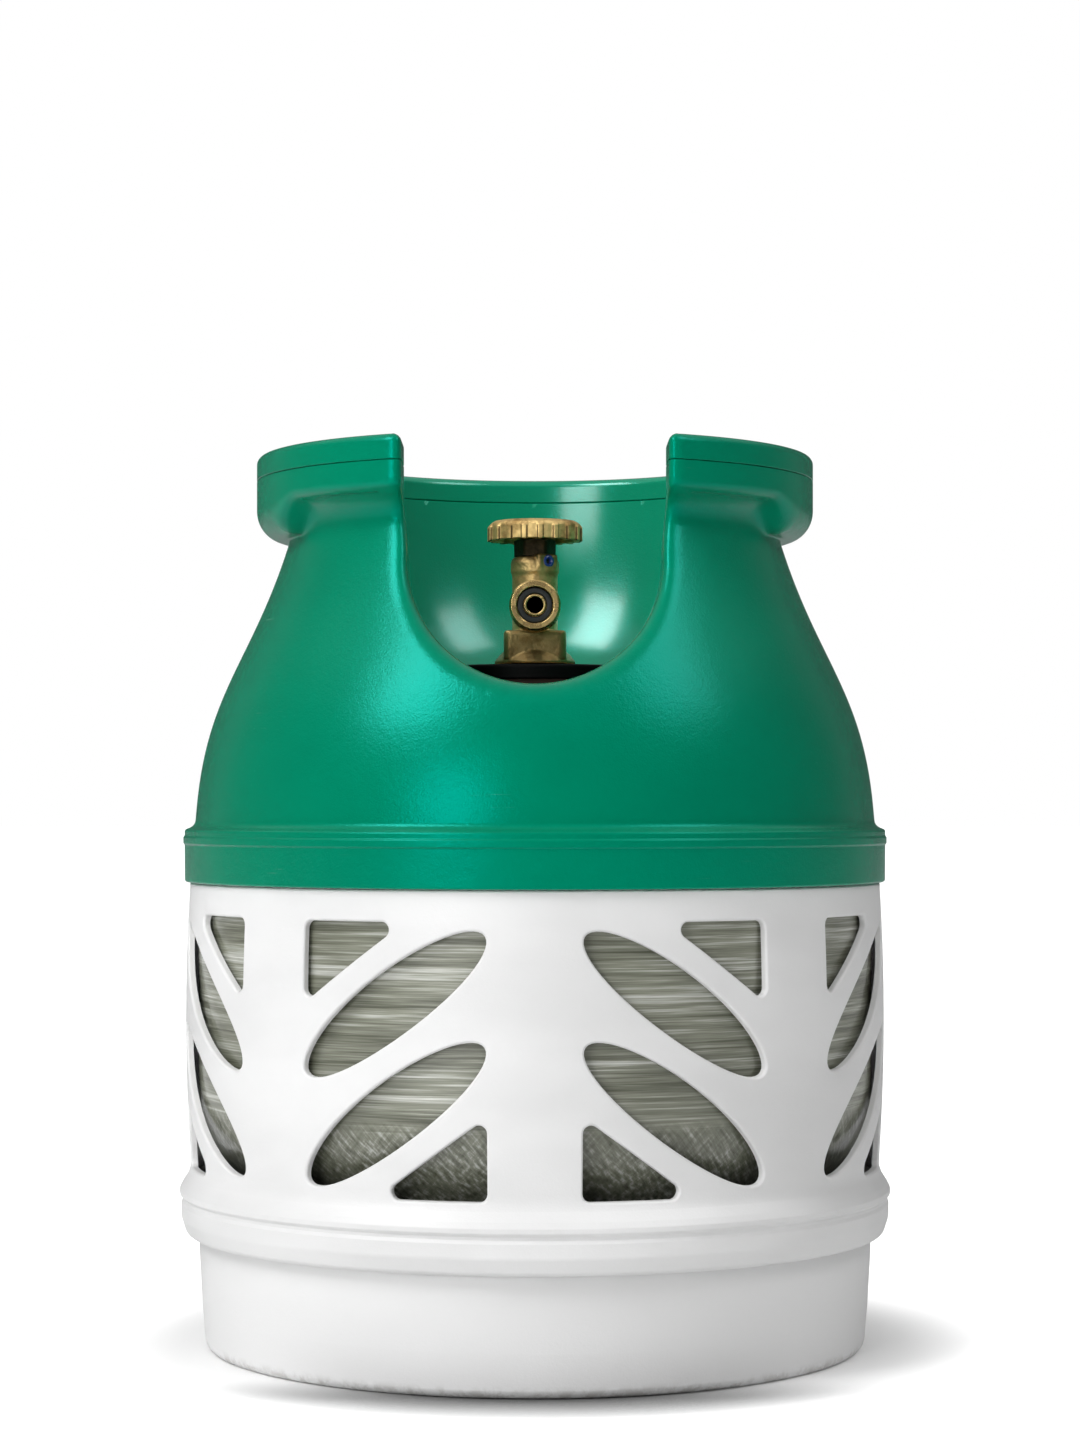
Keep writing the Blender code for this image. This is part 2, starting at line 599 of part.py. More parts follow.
def build_gland():
    """Gland nut in the body's top, its packing rings and the thrust washer under it."""
    head_low_z = BODY_TOP_Z + GAP
    head_high_z = WHEEL_LOW_Z + 0.0006
    thread_r = CHAMBER_R - GAP
    outline = [(GLAND_BORE_R, GLAND_LOW_Z), (thread_r, GLAND_LOW_Z), (thread_r, head_low_z),
               (GLAND_HEAD_R, head_low_z), (GLAND_HEAD_R, head_high_z - 0.0006),
               (GLAND_HEAD_R - 0.0006, head_high_z),
               (GLAND_BORE_R, head_high_z),
               (GLAND_BORE_R, 0.3410), (0.0052, 0.3410), (0.0052, 0.3390), (GLAND_BORE_R, 0.3390),
               (GLAND_BORE_R, 0.3350), (0.0052, 0.3350), (0.0052, 0.3330), (GLAND_BORE_R, 0.3330)]
    add_object("gland_nut", turned_mesh("gland_nut", outline, 18), DARK_BRASS)
    for name, middle_z in (("spindle_seal_lower", 0.3340), ("spindle_seal_upper", 0.3400)):
        ring = arc(0.00445, middle_z, 0.00055, 0.0008, 0, 300, 5)
        add_object(name, turned_mesh(name, ring, 16), RUBBER)
    washer = [(GLAND_BORE_R, THRUST_LOW_Z), (0.0064, THRUST_LOW_Z), (0.0064, GLAND_LOW_Z - GAP),
              (GLAND_BORE_R, GLAND_LOW_Z - GAP)]
    add_object("thrust_washer", turned_mesh("thrust_washer", washer, 16), NATURAL)


def build_spindle_and_plug():
    """Spindle with its drive tongue, and the plug that climbs on its thread."""
    tongue_half = 0.0011
    plug_top_z = SPINDLE_COLLAR_Z - PLUG_LIFT - 0.0004
    plug_low_z = 0.3150
    slot_floor_z = 0.3158
    tongue_low_z = slot_floor_z + PLUG_LIFT + 0.0004
    top_z = 0.3527
    outline = [(0.0, SPINDLE_COLLAR_Z), (SPINDLE_COLLAR_R, SPINDLE_COLLAR_Z),
               (SPINDLE_COLLAR_R, THRUST_LOW_Z - GAP),
               (SPINDLE_R, THRUST_LOW_Z - GAP), (SPINDLE_R, top_z - 0.0008), (SPINDLE_R - 0.0006, top_z),
               (0.0, top_z)]
    spindle = add_object("spindle", turned_mesh("spindle", outline, 20), BRASS)
    tongue = [(-0.0052, -tongue_half), (0.0052, -tongue_half), (0.0052, tongue_half), (-0.0052, tongue_half)]

    def tongue_place(x, y, end):
        return (x, y, SPINDLE_COLLAR_Z + 0.0006 if end else tongue_low_z)
    add_boolean(spindle, cutter("tongue_join", prism_mesh("tongue_join", tongue, tongue_place)), "UNION")

    plug_r = CHAMBER_R - GAP
    outline = [(0.0, plug_low_z), (plug_r - 0.0006, plug_low_z), (plug_r, plug_low_z + 0.0006),
               (plug_r, plug_top_z), (0.0, plug_top_z)]
    plug = add_object("valve_plug", turned_mesh("valve_plug", outline, 20), BRASS)
    slot_half = tongue_half + GAP
    slot = [(-0.010, -slot_half), (0.010, -slot_half), (0.010, slot_half), (-0.010, slot_half)]

    def slot_place(x, y, end):
        return (x, y, plug_top_z + 0.002 if end else slot_floor_z)
    add_boolean(plug, cutter("slot_cutter", prism_mesh("slot_cutter", slot, slot_place)))

    pad = [(0.0, CHAMBER_LOW_Z + GAP), (0.0052, CHAMBER_LOW_Z + GAP), (0.0052, plug_low_z - GAP),
           (0.0, plug_low_z - GAP)]
    add_object("plug_seat_pad", turned_mesh("plug_seat_pad", pad, 16), NATURAL)


def build_hand_wheel():
    """Ribbed hand wheel, hollow underneath, with its washer and nut in the top recess."""
    steps_per_rib = 3
    sides = WHEEL_RIBS * steps_per_rib
    hub_r = 0.0075
    bore_r = SPINDLE_R + GAP
    web_z = 0.3495
    recess_r = 0.0085

    def outline(angle):
        step = round(angle / (2.0 * math.pi) * sides) % steps_per_rib
        on_rib = step < 2
        outer = WHEEL_R if on_rib else WHEEL_R - 0.0009
        low_z = WHEEL_LOW_Z if on_rib else WHEEL_LOW_Z + 0.0009
        return [(WHEEL_R - 0.0035, low_z), (outer, low_z), (outer, WHEEL_HIGH_Z - 0.0022),
                (WHEEL_R - 0.0032, WHEEL_HIGH_Z), (recess_r, WHEEL_HIGH_Z), (recess_r, web_z + 0.0008),
                (bore_r, web_z + 0.0008), (bore_r, WHEEL_LOW_Z + 0.0012), (hub_r, WHEEL_LOW_Z + 0.0012),
                (hub_r, web_z - 0.0008), (WHEEL_R - 0.0035, web_z - 0.0008)]
    add_object("hand_wheel", turned_mesh("hand_wheel", outline, sides), BRASS)

    washer_low_z = web_z + 0.0008 + GAP
    washer_high_z = washer_low_z + 0.0005
    washer_r = 0.0068
    washer = [(bore_r, washer_low_z), (washer_r, washer_low_z), (washer_r, washer_high_z),
              (bore_r, washer_high_z)]
    add_object("wheel_washer", turned_mesh("wheel_washer", washer, 16), STEEL)
    nut_low_z = washer_high_z + GAP
    add_object("wheel_nut", hexagon_ring("wheel_nut", 0.0110, bore_r, nut_low_z, 0.3532), BRASS)


def build_lock_screw():
    """Grub screw that locks the gland nut, with a dab of blue lacquer on its head."""
    outside = BULGE_R - 0.0004
    screw_r = 0.0018
    screw = [(0.0, CHAMBER_R + GAP), (screw_r, CHAMBER_R + GAP), (screw_r, outside - 0.0007),
             (0.0, outside - 0.0007)]
    mesh = turned_mesh("bonnet_lock_screw", screw, 10)
    mesh.transform(lock_screw_frame())
    add_object("bonnet_lock_screw", mesh, STEEL)
    dab = [(0.0, outside - 0.0004), (screw_r, outside - 0.0004), (screw_r - 0.0002, outside + 0.0004),
           (0.0, outside + 0.0006)]
    mesh = turned_mesh("lock_screw_lacquer", dab, 10)
    mesh.transform(lock_screw_frame())
    add_object("lock_screw_lacquer", mesh, BLUE)


def spring_mesh(name, radius, wire, low_z, high_z, turns):
    """Closed helical spring standing along Z."""
    sides = 4
    steps = turns * 10
    shape = bmesh.new()
    rings = []
    for step in range(steps + 1):
        angle = 2.0 * math.pi * turns * step / steps
        middle_z = low_z + wire + (high_z - low_z - 2 * wire) * step / steps
        ring = []
        for side in range(sides):
            around = 2.0 * math.pi * side / sides
            reach = radius + wire * math.cos(around)
            place = (reach * math.cos(angle), reach * math.sin(angle), middle_z + wire * math.sin(around))
            ring.append(shape.verts.new(place))
        rings.append(ring)
    for here, there in zip(rings, rings[1:]):
        for side in range(sides):
            after = (side + 1) % sides
            shape.faces.new((here[side], here[after], there[after], there[side]))
    shape.faces.new(rings[0])
    shape.faces.new(reversed(rings[-1]))
    return finish_mesh(name, shape)


def build_relief_valve():
    """Sprung relief valve in the upright housing behind the column."""
    place = (0.0, RELIEF_Y, 0.0)
    head_r = RELIEF_BORE_R - 0.0006
    pad_low_z = RELIEF_SEAT_Z + GAP
    pad_high_z = pad_low_z + 0.0014
    head_low_z = pad_high_z + GAP
    head_high_z = head_low_z + 0.0022
    stem_r = 0.0016
    stem_top_z = 0.3120
    spring_low_z = head_high_z + GAP
    adjuster_low_z = 0.3160
    adjuster_high_z = 0.3192
    spring_high_z = adjuster_low_z - GAP
    pad = [(0.0, pad_low_z), (head_r - 0.0004, pad_low_z), (head_r - 0.0004, pad_high_z), (0.0, pad_high_z)]
    add_object("relief_seal", turned_mesh("relief_seal", pad, 12), RUBBER, place)
    head = [(0.0, head_low_z), (head_r, head_low_z), (head_r, head_high_z), (stem_r, head_high_z),
            (stem_r, stem_top_z), (0.0, stem_top_z)]
    add_object("relief_poppet", turned_mesh("relief_poppet", head, 12), BRASS, place)
    coil = spring_mesh("relief_spring", 0.0040, 0.0006, spring_low_z, spring_high_z, 5)
    add_object("relief_spring", coil, STEEL, place)
    thread_r = RELIEF_BORE_R - GAP
    ring = [(0.0024, adjuster_low_z), (thread_r, adjuster_low_z), (thread_r, adjuster_high_z),
            (0.0024, adjuster_high_z)]
    add_object("relief_adjuster", turned_mesh("relief_adjuster", ring, 12), BRASS, place)
    cap_low_z = RELIEF_TOP_Z + GAP
    skirt_r = RELIEF_BORE_R - GAP
    cap = [(0.0, cap_low_z + 0.0002), (skirt_r - 0.0012, cap_low_z + 0.0002), (skirt_r - 0.0012, 0.3196),
           (skirt_r, 0.3196), (skirt_r, cap_low_z), (RELIEF_R, cap_low_z), (RELIEF_R, cap_low_z + 0.0012),
           (RELIEF_R - 0.0010, cap_low_z + 0.0020), (0.0, cap_low_z + 0.0020)]
    add_object("relief_dust_cap", turned_mesh("relief_dust_cap", cap, 12), BLACK, place)


def main():
    """Build the whole tank."""
    clear_scene()
    build_vessel()
    build_base_cup()
    build_middle_sleeve()
    build_top_casing()
    build_valve_body()
    build_outlet()
    build_gland()
    build_spindle_and_plug()
    build_hand_wheel()
    build_lock_screw()
    build_relief_valve()


main()
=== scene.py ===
import functools
import math

import bpy
from bpy.props import FloatProperty, FloatVectorProperty, IntProperty, PointerProperty
from mathutils import Matrix, Vector, geometry


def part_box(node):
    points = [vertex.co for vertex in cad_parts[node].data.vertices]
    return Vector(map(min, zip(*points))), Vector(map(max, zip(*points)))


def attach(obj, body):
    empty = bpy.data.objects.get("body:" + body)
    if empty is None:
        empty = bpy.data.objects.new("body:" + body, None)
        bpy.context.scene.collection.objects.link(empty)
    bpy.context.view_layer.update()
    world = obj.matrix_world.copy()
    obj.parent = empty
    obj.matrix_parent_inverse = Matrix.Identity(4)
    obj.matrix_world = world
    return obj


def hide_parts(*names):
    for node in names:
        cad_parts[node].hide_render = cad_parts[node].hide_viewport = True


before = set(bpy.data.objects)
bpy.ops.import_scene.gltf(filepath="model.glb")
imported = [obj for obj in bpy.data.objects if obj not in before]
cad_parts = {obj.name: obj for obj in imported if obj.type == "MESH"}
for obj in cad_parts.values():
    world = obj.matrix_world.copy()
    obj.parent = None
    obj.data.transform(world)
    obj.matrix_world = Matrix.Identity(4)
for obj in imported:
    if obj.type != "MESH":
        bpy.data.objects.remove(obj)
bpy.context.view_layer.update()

bl_info = {
    "name": "Composite Gas Tank",
    "version": (1, 0, 0),
    "blender": (4, 5, 0),
    "location": "3D View > Sidebar > Gas Tank",
    "description": "Builds a wound composite gas tank in its plastic casing, with a brass valve",
    "category": "Object",
}

FRONT = Vector((0.0, -1.0, 0.0))
UP = Vector((0.0, 0.0, 1.0))


# ================================================================ heights and radii taken from the frame
def outer_radius(node):
    """Largest radius of a turned CAD node, from its box."""
    low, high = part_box(node)
    return (high.x - low.x) / 2


TOP_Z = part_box("grip_cap")[1].z
SEAM_LOW_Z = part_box("top_casing")[1].z
SEAM_HIGH_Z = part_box("grip_cap")[0].z
RIM_R = outer_radius("grip_cap")
BAND_LOW_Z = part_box("top_casing")[0].z
SLEEVE_LOW_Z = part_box("middle_sleeve")[0].z
SLEEVE_TOP_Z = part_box("middle_sleeve")[1].z
RING_R = outer_radius("middle_sleeve")
CUP_R = outer_radius("base_cup")
CUP_TOP_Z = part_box("base_cup")[1].z
VESSEL_R = outer_radius("composite_shell")
VESSEL_LOW_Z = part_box("composite_shell")[0].z
COLLAR_R = outer_radius("neck_collar")
COLLAR_TOP_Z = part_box("neck_collar")[1].z
BODY_LOW_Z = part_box("valve_body")[0].z
BODY_TOP_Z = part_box("valve_body")[1].z
OUTLET_FACE_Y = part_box("valve_body")[0].y
OUTLET_Z = (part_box("outlet_seal")[0].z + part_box("outlet_seal")[1].z) / 2
WHEEL_R = outer_radius("hand_wheel")
WHEEL_LOW_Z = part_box("hand_wheel")[0].z
WHEEL_TOP_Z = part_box("hand_wheel")[1].z
RELIEF_Y = (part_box("relief_dust_cap")[0].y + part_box("relief_dust_cap")[1].y) / 2
RELIEF_R = outer_radius("relief_dust_cap")

# Vessel: a straight cylinder between two domes
CYLINDER_LOW_Z = 0.113
CYLINDER_HIGH_Z = 0.192
LOWER_DOME = CYLINDER_LOW_Z - VESSEL_LOW_Z
UPPER_DOME = 0.097
NECK_HOLE_R = 0.0218

# Sleeve wall and its windows
SLEEVE_R = 0.1498
SLEEVE_MID_Z = 0.140
WALL_LOW_Z = 0.0740
WALL_HIGH_Z = 0.1955
SLEEVE_WALL = 0.003
WINDOW_GROUPS = 8
WINDOW_MID_Z = 0.1315
ELLIPSE_HALF = (0.0477, 0.0125)
ELLIPSE_LEAN = math.radians(35)
ELLIPSE_RISE = 0.0215
TRIANGLE_CORNER = (0.0400, 0.0541)
TRIANGLE_LEGS = (0.0465, 0.0328)

# Bell of the top casing, from shoulder to neck, and the lips over it
BELL = ((0.1454, 0.2290), (0.1410, 0.2805), (0.1219, 0.2917), (0.1058, 0.3433))
LIP_TURN = (math.radians(56), math.radians(68))

# U-shaped opening and the well behind it
OPENING_R = 0.0515
OPENING_MID_Z = 0.3305
OPENING_TOP_HALF = 0.0535
WELL_HOLE_R = 0.058
WELL_FLOOR_Z = 0.2858
WELL_WALL = ((WELL_HOLE_R, WELL_FLOOR_Z), (0.0735, 0.2930), (0.0850, 0.3150), (0.0875, SEAM_LOW_Z))
RIM_INNER_R = 0.0875

# Wrench block, column and gland of the valve
BLOCK_HALF = 0.0134
COLUMN_R = 0.0098
LOCK_SCREW_TURN = math.radians(36)
LOCK_SCREW_Z = 0.3358


# ================================================================ curves
def mixed(start, end, share):
    """Value at a share of the way from start to end."""
    return start + (end - start) * share


def smooth(value, low, high):
    """0 below low, 1 above high, with a smooth rise between."""
    share = min(max((value - low) / (high - low), 0.0), 1.0)
    return share * share * (3.0 - 2.0 * share)


def bezier(corners, share):
    """Point of a Bezier curve through any number of corners."""
    points = [Vector(corner) for corner in corners]
    while len(points) > 1:
        points = [here.lerp(there, share) for here, there in zip(points, points[1:])]
    return points[0]


def share_at_height(curve, height, low=0.0, high=1.0):
    """Share along a rising (radius, height) curve at which it reaches a height."""
    for _ in range(40):
        middle = (low + high) / 2
        if curve(middle).y < height:
            low = middle
        else:
            high = middle
    return (low + high) / 2


def around(radius, turn, height):
    """Point at a turn from the front, towards the right."""
    return Vector((radius * math.sin(turn), -radius * math.cos(turn), height))


def outline(corners, closed=False, steps=None):
    """Round the corners of a (radius, height, rounding) outline, walked with the outside on its right.

    Returns (point, normal) pairs. A rounding of None marks a point on a smooth curve. Each rounding
    takes the steps given, or as many as its angle needs.
    """
    points = []
    count = len(corners)
    for index, corner in enumerate(corners):
        here = Vector(corner[:2])
        arriving = (here - Vector(corners[index - 1][:2])).normalized()
        leaving = (Vector(corners[(index + 1) % count][:2]) - here).normalized()
        if not closed and index == 0:
            arriving = leaving
        if not closed and index == count - 1:
            leaving = arriving
        right_in = Vector((arriving.y, -arriving.x))
        right_out = Vector((leaving.y, -leaving.x))
        turn = math.atan2(arriving.x * leaving.y - arriving.y * leaving.x, arriving.dot(leaving))
        rounding = corner[2]
        if rounding is None:
            points.append((here, (right_in + right_out).normalized()))
        elif not rounding or abs(turn) < 0.02:
            points.append((here, right_in))
            if abs(turn) >= 0.02:
                points.append((here, right_out))
        else:
            room = [rounding * math.tan(abs(turn) / 2)]
            for other in (corners[index - 1], corners[(index + 1) % count]):
                room.append(0.49 * (here - Vector(other[:2])).length)
            reach = min(room)
            radius = math.copysign(reach / math.tan(abs(turn) / 2), turn)
            start = here - arriving * reach
            middle = start - right_in * radius
            pieces = steps or max(2, round(abs(turn) / math.radians(16)))
            for step in range(pieces + 1):
                normal = right_in.slerp(right_out, step / pieces)
                points.append((middle + normal * radius, normal))
    return points


# ================================================================ meshes
class Skin:
    """Faces that keep the exact surface direction at each corner, so thin mouldings shade cleanly."""

    GRAIN = 1e-5             # points closer than this are one

    def __init__(self):
        self.points = []
        self.known = {}
        self.faces = []
        self.directions = []

    def corner(self, point):
        """Number of the vertex at a point, which is new or already there."""
        key = tuple(round(value / self.GRAIN) for value in point)
        if key not in self.known:
            self.known[key] = len(self.points)
            self.points.append(tuple(point))
        return self.known[key]

    def patch(self, points, normals, faces, mirror=False):
        """Add faces over points, turned to agree with the normals; mirror adds them at -X too."""
        for face in faces:
            numbers = [self.corner(points[index]) for index in face]
            kept = [spot for spot in range(len(face)) if numbers[spot] not in numbers[:spot]]
            if len(kept) < 3:
                continue
            corners = [points[face[spot]] for spot in kept]
            facing = geometry.normal(corners)
            toward = sum((normals[face[spot]] for spot in kept), Vector((0.0, 0.0, 0.0)))
            if facing.dot(toward) < 0.0:
                kept.reverse()
            self.faces.append([numbers[spot] for spot in kept])
            self.directions += [tuple(normals[face[spot]]) for spot in kept]
        if mirror:
            flipped = [Vector((-point.x, point.y, point.z)) for point in points]
            turned = [Vector((-normal.x, normal.y, normal.z)) for normal in normals]
            self.patch(flipped, turned, faces)

    def grid(self, rows, normals, mirror=False, closed=False):
        """Add a grid of points with their normals; closed joins each row's end to its start."""
        width = len(rows[0])
        faces = []
        for row in range(len(rows) - 1):
            for column in range(width if closed else width - 1):
                after = (column + 1) % width
                low = row * width
                faces.append((low + column, low + after, low + width + after, low + width + column))
        points = [point for row in rows for point in row]
        self.patch(points, [normal for row in normals for normal in row], faces, mirror)

    def sheet(self, place, rows, columns, mirror=False, closed=False, facing=1.0):
        """Add the surface place(row, column), with normals measured on it; facing -1 turns them over."""
        points = []
        normals = []
        for row in rows:
            points.append([place(row, column) for column in columns])
            normals.append([facing * measured_normal(place, row, column) for column in columns])
        self.grid(points, normals, mirror, closed)

    def turn(self, points, sides, lay=None, closed=False):
        """Turn an outline of (point, normal) pairs round the Z axis, then lay it with a matrix."""
        if closed:
            points = points + points[:1]
        lay = lay or Matrix.Identity(4)
        spin = lay.to_3x3()
        rows = []
        normals = []
        for point, normal in points:
            turns = [2.0 * math.pi * side / sides for side in range(sides)]
            rows.append([lay @ around(point.x, turn, point.y) for turn in turns])
            normals.append([spin @ around(normal.x, turn, normal.y) for turn in turns])
        self.grid(rows, normals, closed=True)

    def mesh(self, name):
        """The finished mesh, with its corner normals."""
        mesh = bpy.data.meshes.new(name)
        mesh.from_pydata(self.points, [], self.faces)
        mesh.shade_smooth()
        mesh.normals_split_custom_set(self.directions)
        return mesh


def measured_normal(place, row, column):
    """Direction of the surface place(row, column) at one of its points."""
    step = 1e-4
    along = place(row + step, column) - place(row - step, column)
    across = place(row, column + step) - place(row, column - step)
    return along.cross(across).normalized()


def steps_between(start, end, count):
    """Even steps from start to end, both included."""
    return [mixed(start, end, step / count) for step in range(count + 1)]


def add_piece(name, shape, paint, body, node):
    """Link a piece, a skin or a mesh, with its finish, slot and body, in place of a CAD node."""
    mesh = shape.mesh(name) if isinstance(shape, Skin) else shape
    piece = bpy.data.objects.new(name, mesh)
    bpy.context.scene.collection.objects.link(piece)
    mesh.materials.clear()
    mesh.materials.append(paint.material)
    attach(piece, body)
    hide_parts(node)


def finish_node(name, paint):
    """Give a CAD node that stays its finish."""
    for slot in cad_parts[name].material_slots:
        slot.material = paint.material


# ================================================================ shaders
class Value:
    """A number, colour or vector that a material's nodes work out."""

    def __init__(self, paint, socket):
        self.paint = paint
        self.socket = socket

    def __add__(self, other):
        return self.paint.maths("ADD", self, other)

    def __radd__(self, other):
        return self.paint.maths("ADD", other, self)

    def __sub__(self, other):
        return self.paint.maths("SUBTRACT", self, other)

    def __rsub__(self, other):
        return self.paint.maths("SUBTRACT", other, self)

    def __mul__(self, other):
        return self.paint.maths("MULTIPLY", self, other)

    def __rmul__(self, other):
        return self.paint.maths("MULTIPLY", other, self)


class Paint:
    """A Principled material whose nodes are made from expressions on Value objects."""

    def __init__(self, name, **constants):
        self.material = bpy.data.materials.new(name)
        self.material.use_nodes = True
        self.tree = self.material.node_tree
        self.shader = self.tree.nodes["Principled BSDF"]
        self.place = self.node("ShaderNodeTexCoord", output="Object")
        self.relief = None
        self.colour = None
        self.set(**constants)

    def put(self, socket, value):
        """Link or set one input."""
        if isinstance(value, Value):
            self.tree.links.new(value.socket, socket)
        elif socket.type == "RGBA" and len(value) == 3:
            socket.default_value = (*value, 1.0)
        else:
            socket.default_value = value

    def set(self, **inputs):
        """Set or link the shader's inputs, named with underscores for spaces."""
        for name, value in inputs.items():
            self.put(self.shader.inputs[name.replace("_", " ").title()], value)

    def node(self, kind, settings=None, inputs=None, output=0):
        """Add a node: first its settings, then the values or links of its inputs."""
        node = self.tree.nodes.new(kind)
        for name, value in (settings or {}).items():
            if name == "stops":
                self.fill_ramp(node.color_ramp, value)
            else:
                setattr(node, name, value)
        for name, value in (inputs or {}).items():
            self.put(node.inputs[name], value)
        return Value(self, node.outputs[output])

    @staticmethod
    def fill_ramp(ramp, stops):
        """Set a ramp's (position, colour) stops."""
        while len(ramp.elements) < len(stops):
            ramp.elements.new(1.0)
        for element, (position, colour) in zip(ramp.elements, stops):
            element.position = position
            element.color = (*colour, 1.0)

    def maths(self, operation, *values, clamp=False):
        """A Math node."""
        settings = {"operation": operation, "use_clamp": clamp}
        return self.node("ShaderNodeMath", settings, dict(enumerate(values)))

    def vector(self, operation, *values):
        """A Vector Math node."""
        return self.node("ShaderNodeVectorMath", {"operation": operation}, dict(enumerate(values)))

    def part(self, axis):
        """One coordinate of the place, in metres."""
        return self.node("ShaderNodeSeparateXYZ", None, {0: self.place}, "XYZ".index(axis))

    def from_axis(self, across, up, height=0.0):
        """Distance from a level or upright axis, from two coordinates."""
        flat = self.node("ShaderNodeCombineXYZ", None, {0: self.part(across), 1: self.part(up) - height})
        return self.node("ShaderNodeVectorMath", {"operation": "LENGTH"}, {0: flat}, "Value")

    def blend(self, share, start, end):
        """Colour at a share of the way from start to end."""
        settings = {"data_type": "RGBA", "clamp_factor": True}
        return self.node("ShaderNodeMix", settings, {0: share, 6: start, 7: end}, 2)

    def noise(self, scale, detail=2.0, roughness=0.5, place=None):
        """Noise of a scale per metre; a scale in three parts stretches it."""
        place = place or self.place
        if not isinstance(scale, (int, float)):
            place = self.vector("MULTIPLY", place, scale)
            scale = 1.0
        inputs = {"Vector": place, "Scale": scale, "Detail": detail, "Roughness": roughness}
        return self.node("ShaderNodeTexNoise", None, inputs)

    def between(self, value, low, high):
        """0 where a value is below low, 1 where it is above high, smooth between."""
        inputs = {"Value": value, "From Min": low, "From Max": high}
        return self.node("ShaderNodeMapRange", {"interpolation_type": "SMOOTHSTEP"}, inputs)

    def emboss(self, height, depth, strength=1.0):
        """Add a relief, with its height in metres, to the surface's direction."""
        inputs = {"Height": height, "Distance": depth, "Strength": strength}
        if self.relief:
            inputs["Normal"] = self.relief
        self.relief = self.node("ShaderNodeBump", None, inputs)
        self.set(normal=self.relief)


# ================================================================ finishes
def moulded_plastic(name, colour, grain, roughness, gloss=0.5, gloss_tint=(1.0, 1.0, 1.0)):
    """Injection-moulded plastic with a fine spark-eroded grain, faint flow marks and rub marks."""
    paint = Paint(name, specular_tint=gloss_tint)
    paint.shader.inputs["Specular IOR Level"].default_value = gloss
    dark = tuple(0.90 * channel for channel in colour)
    flow = paint.noise((7, 7, 16), 3)
    tint = paint.blend(paint.between(flow, 0.35, 0.65), dark, colour)
    spark = paint.noise(1300, 2, 0.6)
    pebble = paint.noise(520, 1)
    rubbed = paint.between(paint.noise((34, 34, 700), 4, 0.6), 0.66, 0.78)
    rubbed = rubbed * paint.between(paint.noise(14, 1), 0.50, 0.70)
    paler = tuple(mixed(channel, 0.75, 0.10) for channel in colour)
    paint.colour = paint.blend(rubbed, tint, paler)
    paint.set(base_color=paint.colour)
    paint.set(roughness=roughness + 0.10 * (spark - 0.5) + 0.06 * (flow - 0.5) + 0.10 * rubbed)
    paint.emboss(spark * 0.6 + pebble * 0.4, grain)
    paint.emboss(paint.noise(60, 2), 0.00012)
    return paint


def green_plastic(name, settings):
    """The casing's green plastic, grained outside and polished inside the well, where the green is
    painted lighter as painted light.
    """
    paint = moulded_plastic(name, settings.green, settings.grain, 0.36, 0.55, settings.gloss_tint)
    outside = paint.between(paint.from_axis("X", "Y"), RIM_INNER_R + 0.0002, RIM_INNER_R + 0.0030)
    # Painted light: inside the well the green is painted 1.3 times lighter than outside.
    paler = tuple(1.3 * channel for channel in settings.green)
    paint.set(base_color=paint.blend(outside, paler, paint.colour))
    spark = paint.noise(1300, 2, 0.6)
    paint.set(roughness=0.19 + 0.06 * outside + 0.10 * (spark - 0.5), coat_roughness=0.18)
    paint.set(coat_weight=1.0 - outside)
    return paint


def soiled_foot(paint, colour):
    """Grey floor dirt on the lowest few millimetres of a plastic foot."""
    low = 1.0 - paint.between(paint.part("Z"), 0.0006, 0.0060)
    patchy = paint.between(paint.noise(160, 4, 0.65), 0.42, 0.62)
    paint.set(base_color=paint.blend(low * patchy * 0.5, colour, (0.35, 0.33, 0.30)))


def wound_fibre(settings):
    """Glossy resin over glass roving: hoop windings on the cylinder, crossed helices on the domes, and
    painted shade near the neck.
    """
    paint = Paint("wound_fibre", coat_weight=0.5, coat_roughness=0.12)
    height = paint.part("Z")
    fine = paint.noise((26, 26, 1500), 3, 0.6)
    strands = paint.noise((9, 9, 420), 3, 0.55)
    bands = paint.noise((5, 5, 95), 2)
    hoops = fine * 0.35 + strands * 0.40 + bands * 0.25
    crossed = None
    for lean in (-6.0, 6.0):
        turned = paint.node("ShaderNodeVectorRotate", {"rotation_type": "Z_AXIS"},
                            {"Vector": paint.place, "Angle": height * lean})
        layer = paint.noise((430, 430, 11), 4, 0.6, turned)
        crossed = layer if crossed is None else crossed * 0.35 + layer * 0.65
    on_dome = 1.0 - paint.between(height + 0.010 * (bands - 0.5), 0.098, 0.108)
    weave = hoops + on_dome * (crossed - hoops)
    stops = [(0.40, settings.fibre_shade), (0.52, settings.fibre_colour), (0.65, settings.fibre_glint)]
    ramp = paint.node("ShaderNodeValToRGB", {"stops": stops}, {"Fac": weave})
    cloud = paint.between(paint.noise(18, 3), 0.35, 0.70)
    resin = paint.blend(cloud * 0.35 + on_dome * 0.35, ramp, settings.fibre_shade)
    # Painted shade: the fibre turns dark brown towards the neck, under the casing.
    neck_painted_shade = paint.between(height, 0.262, 0.276)
    paint.set(base_color=paint.blend(neck_painted_shade, resin, (0.030, 0.016, 0.012)))
    paint.set(roughness=0.26 + 0.25 * (weave - 0.3))
    paint.emboss(weave, 0.00045)
    paint.emboss(paint.noise((40, 40, 160), 2), 0.0006)
    return paint


def forged_brass(name, colour, shade, roughness=0.40, depth=0.00008):
    """Hot-forged brass: sand-fine skin, shallow dents and brown tarnish in patches."""
    paint = Paint(name, metallic=0.85)
    tarnish = paint.between(paint.noise(110, 4, 0.65), 0.45, 0.70)
    skin = paint.noise(2600, 2, 0.6)
    dents = paint.noise(420, 2)
    paint.colour = paint.blend(tarnish * 0.85, colour, shade)
    paint.set(base_color=paint.colour)
    paint.set(roughness=roughness + 0.16 * tarnish + 0.10 * (skin - 0.5))
    paint.emboss(skin, depth)
    paint.emboss(dents, depth * 4)
    return paint


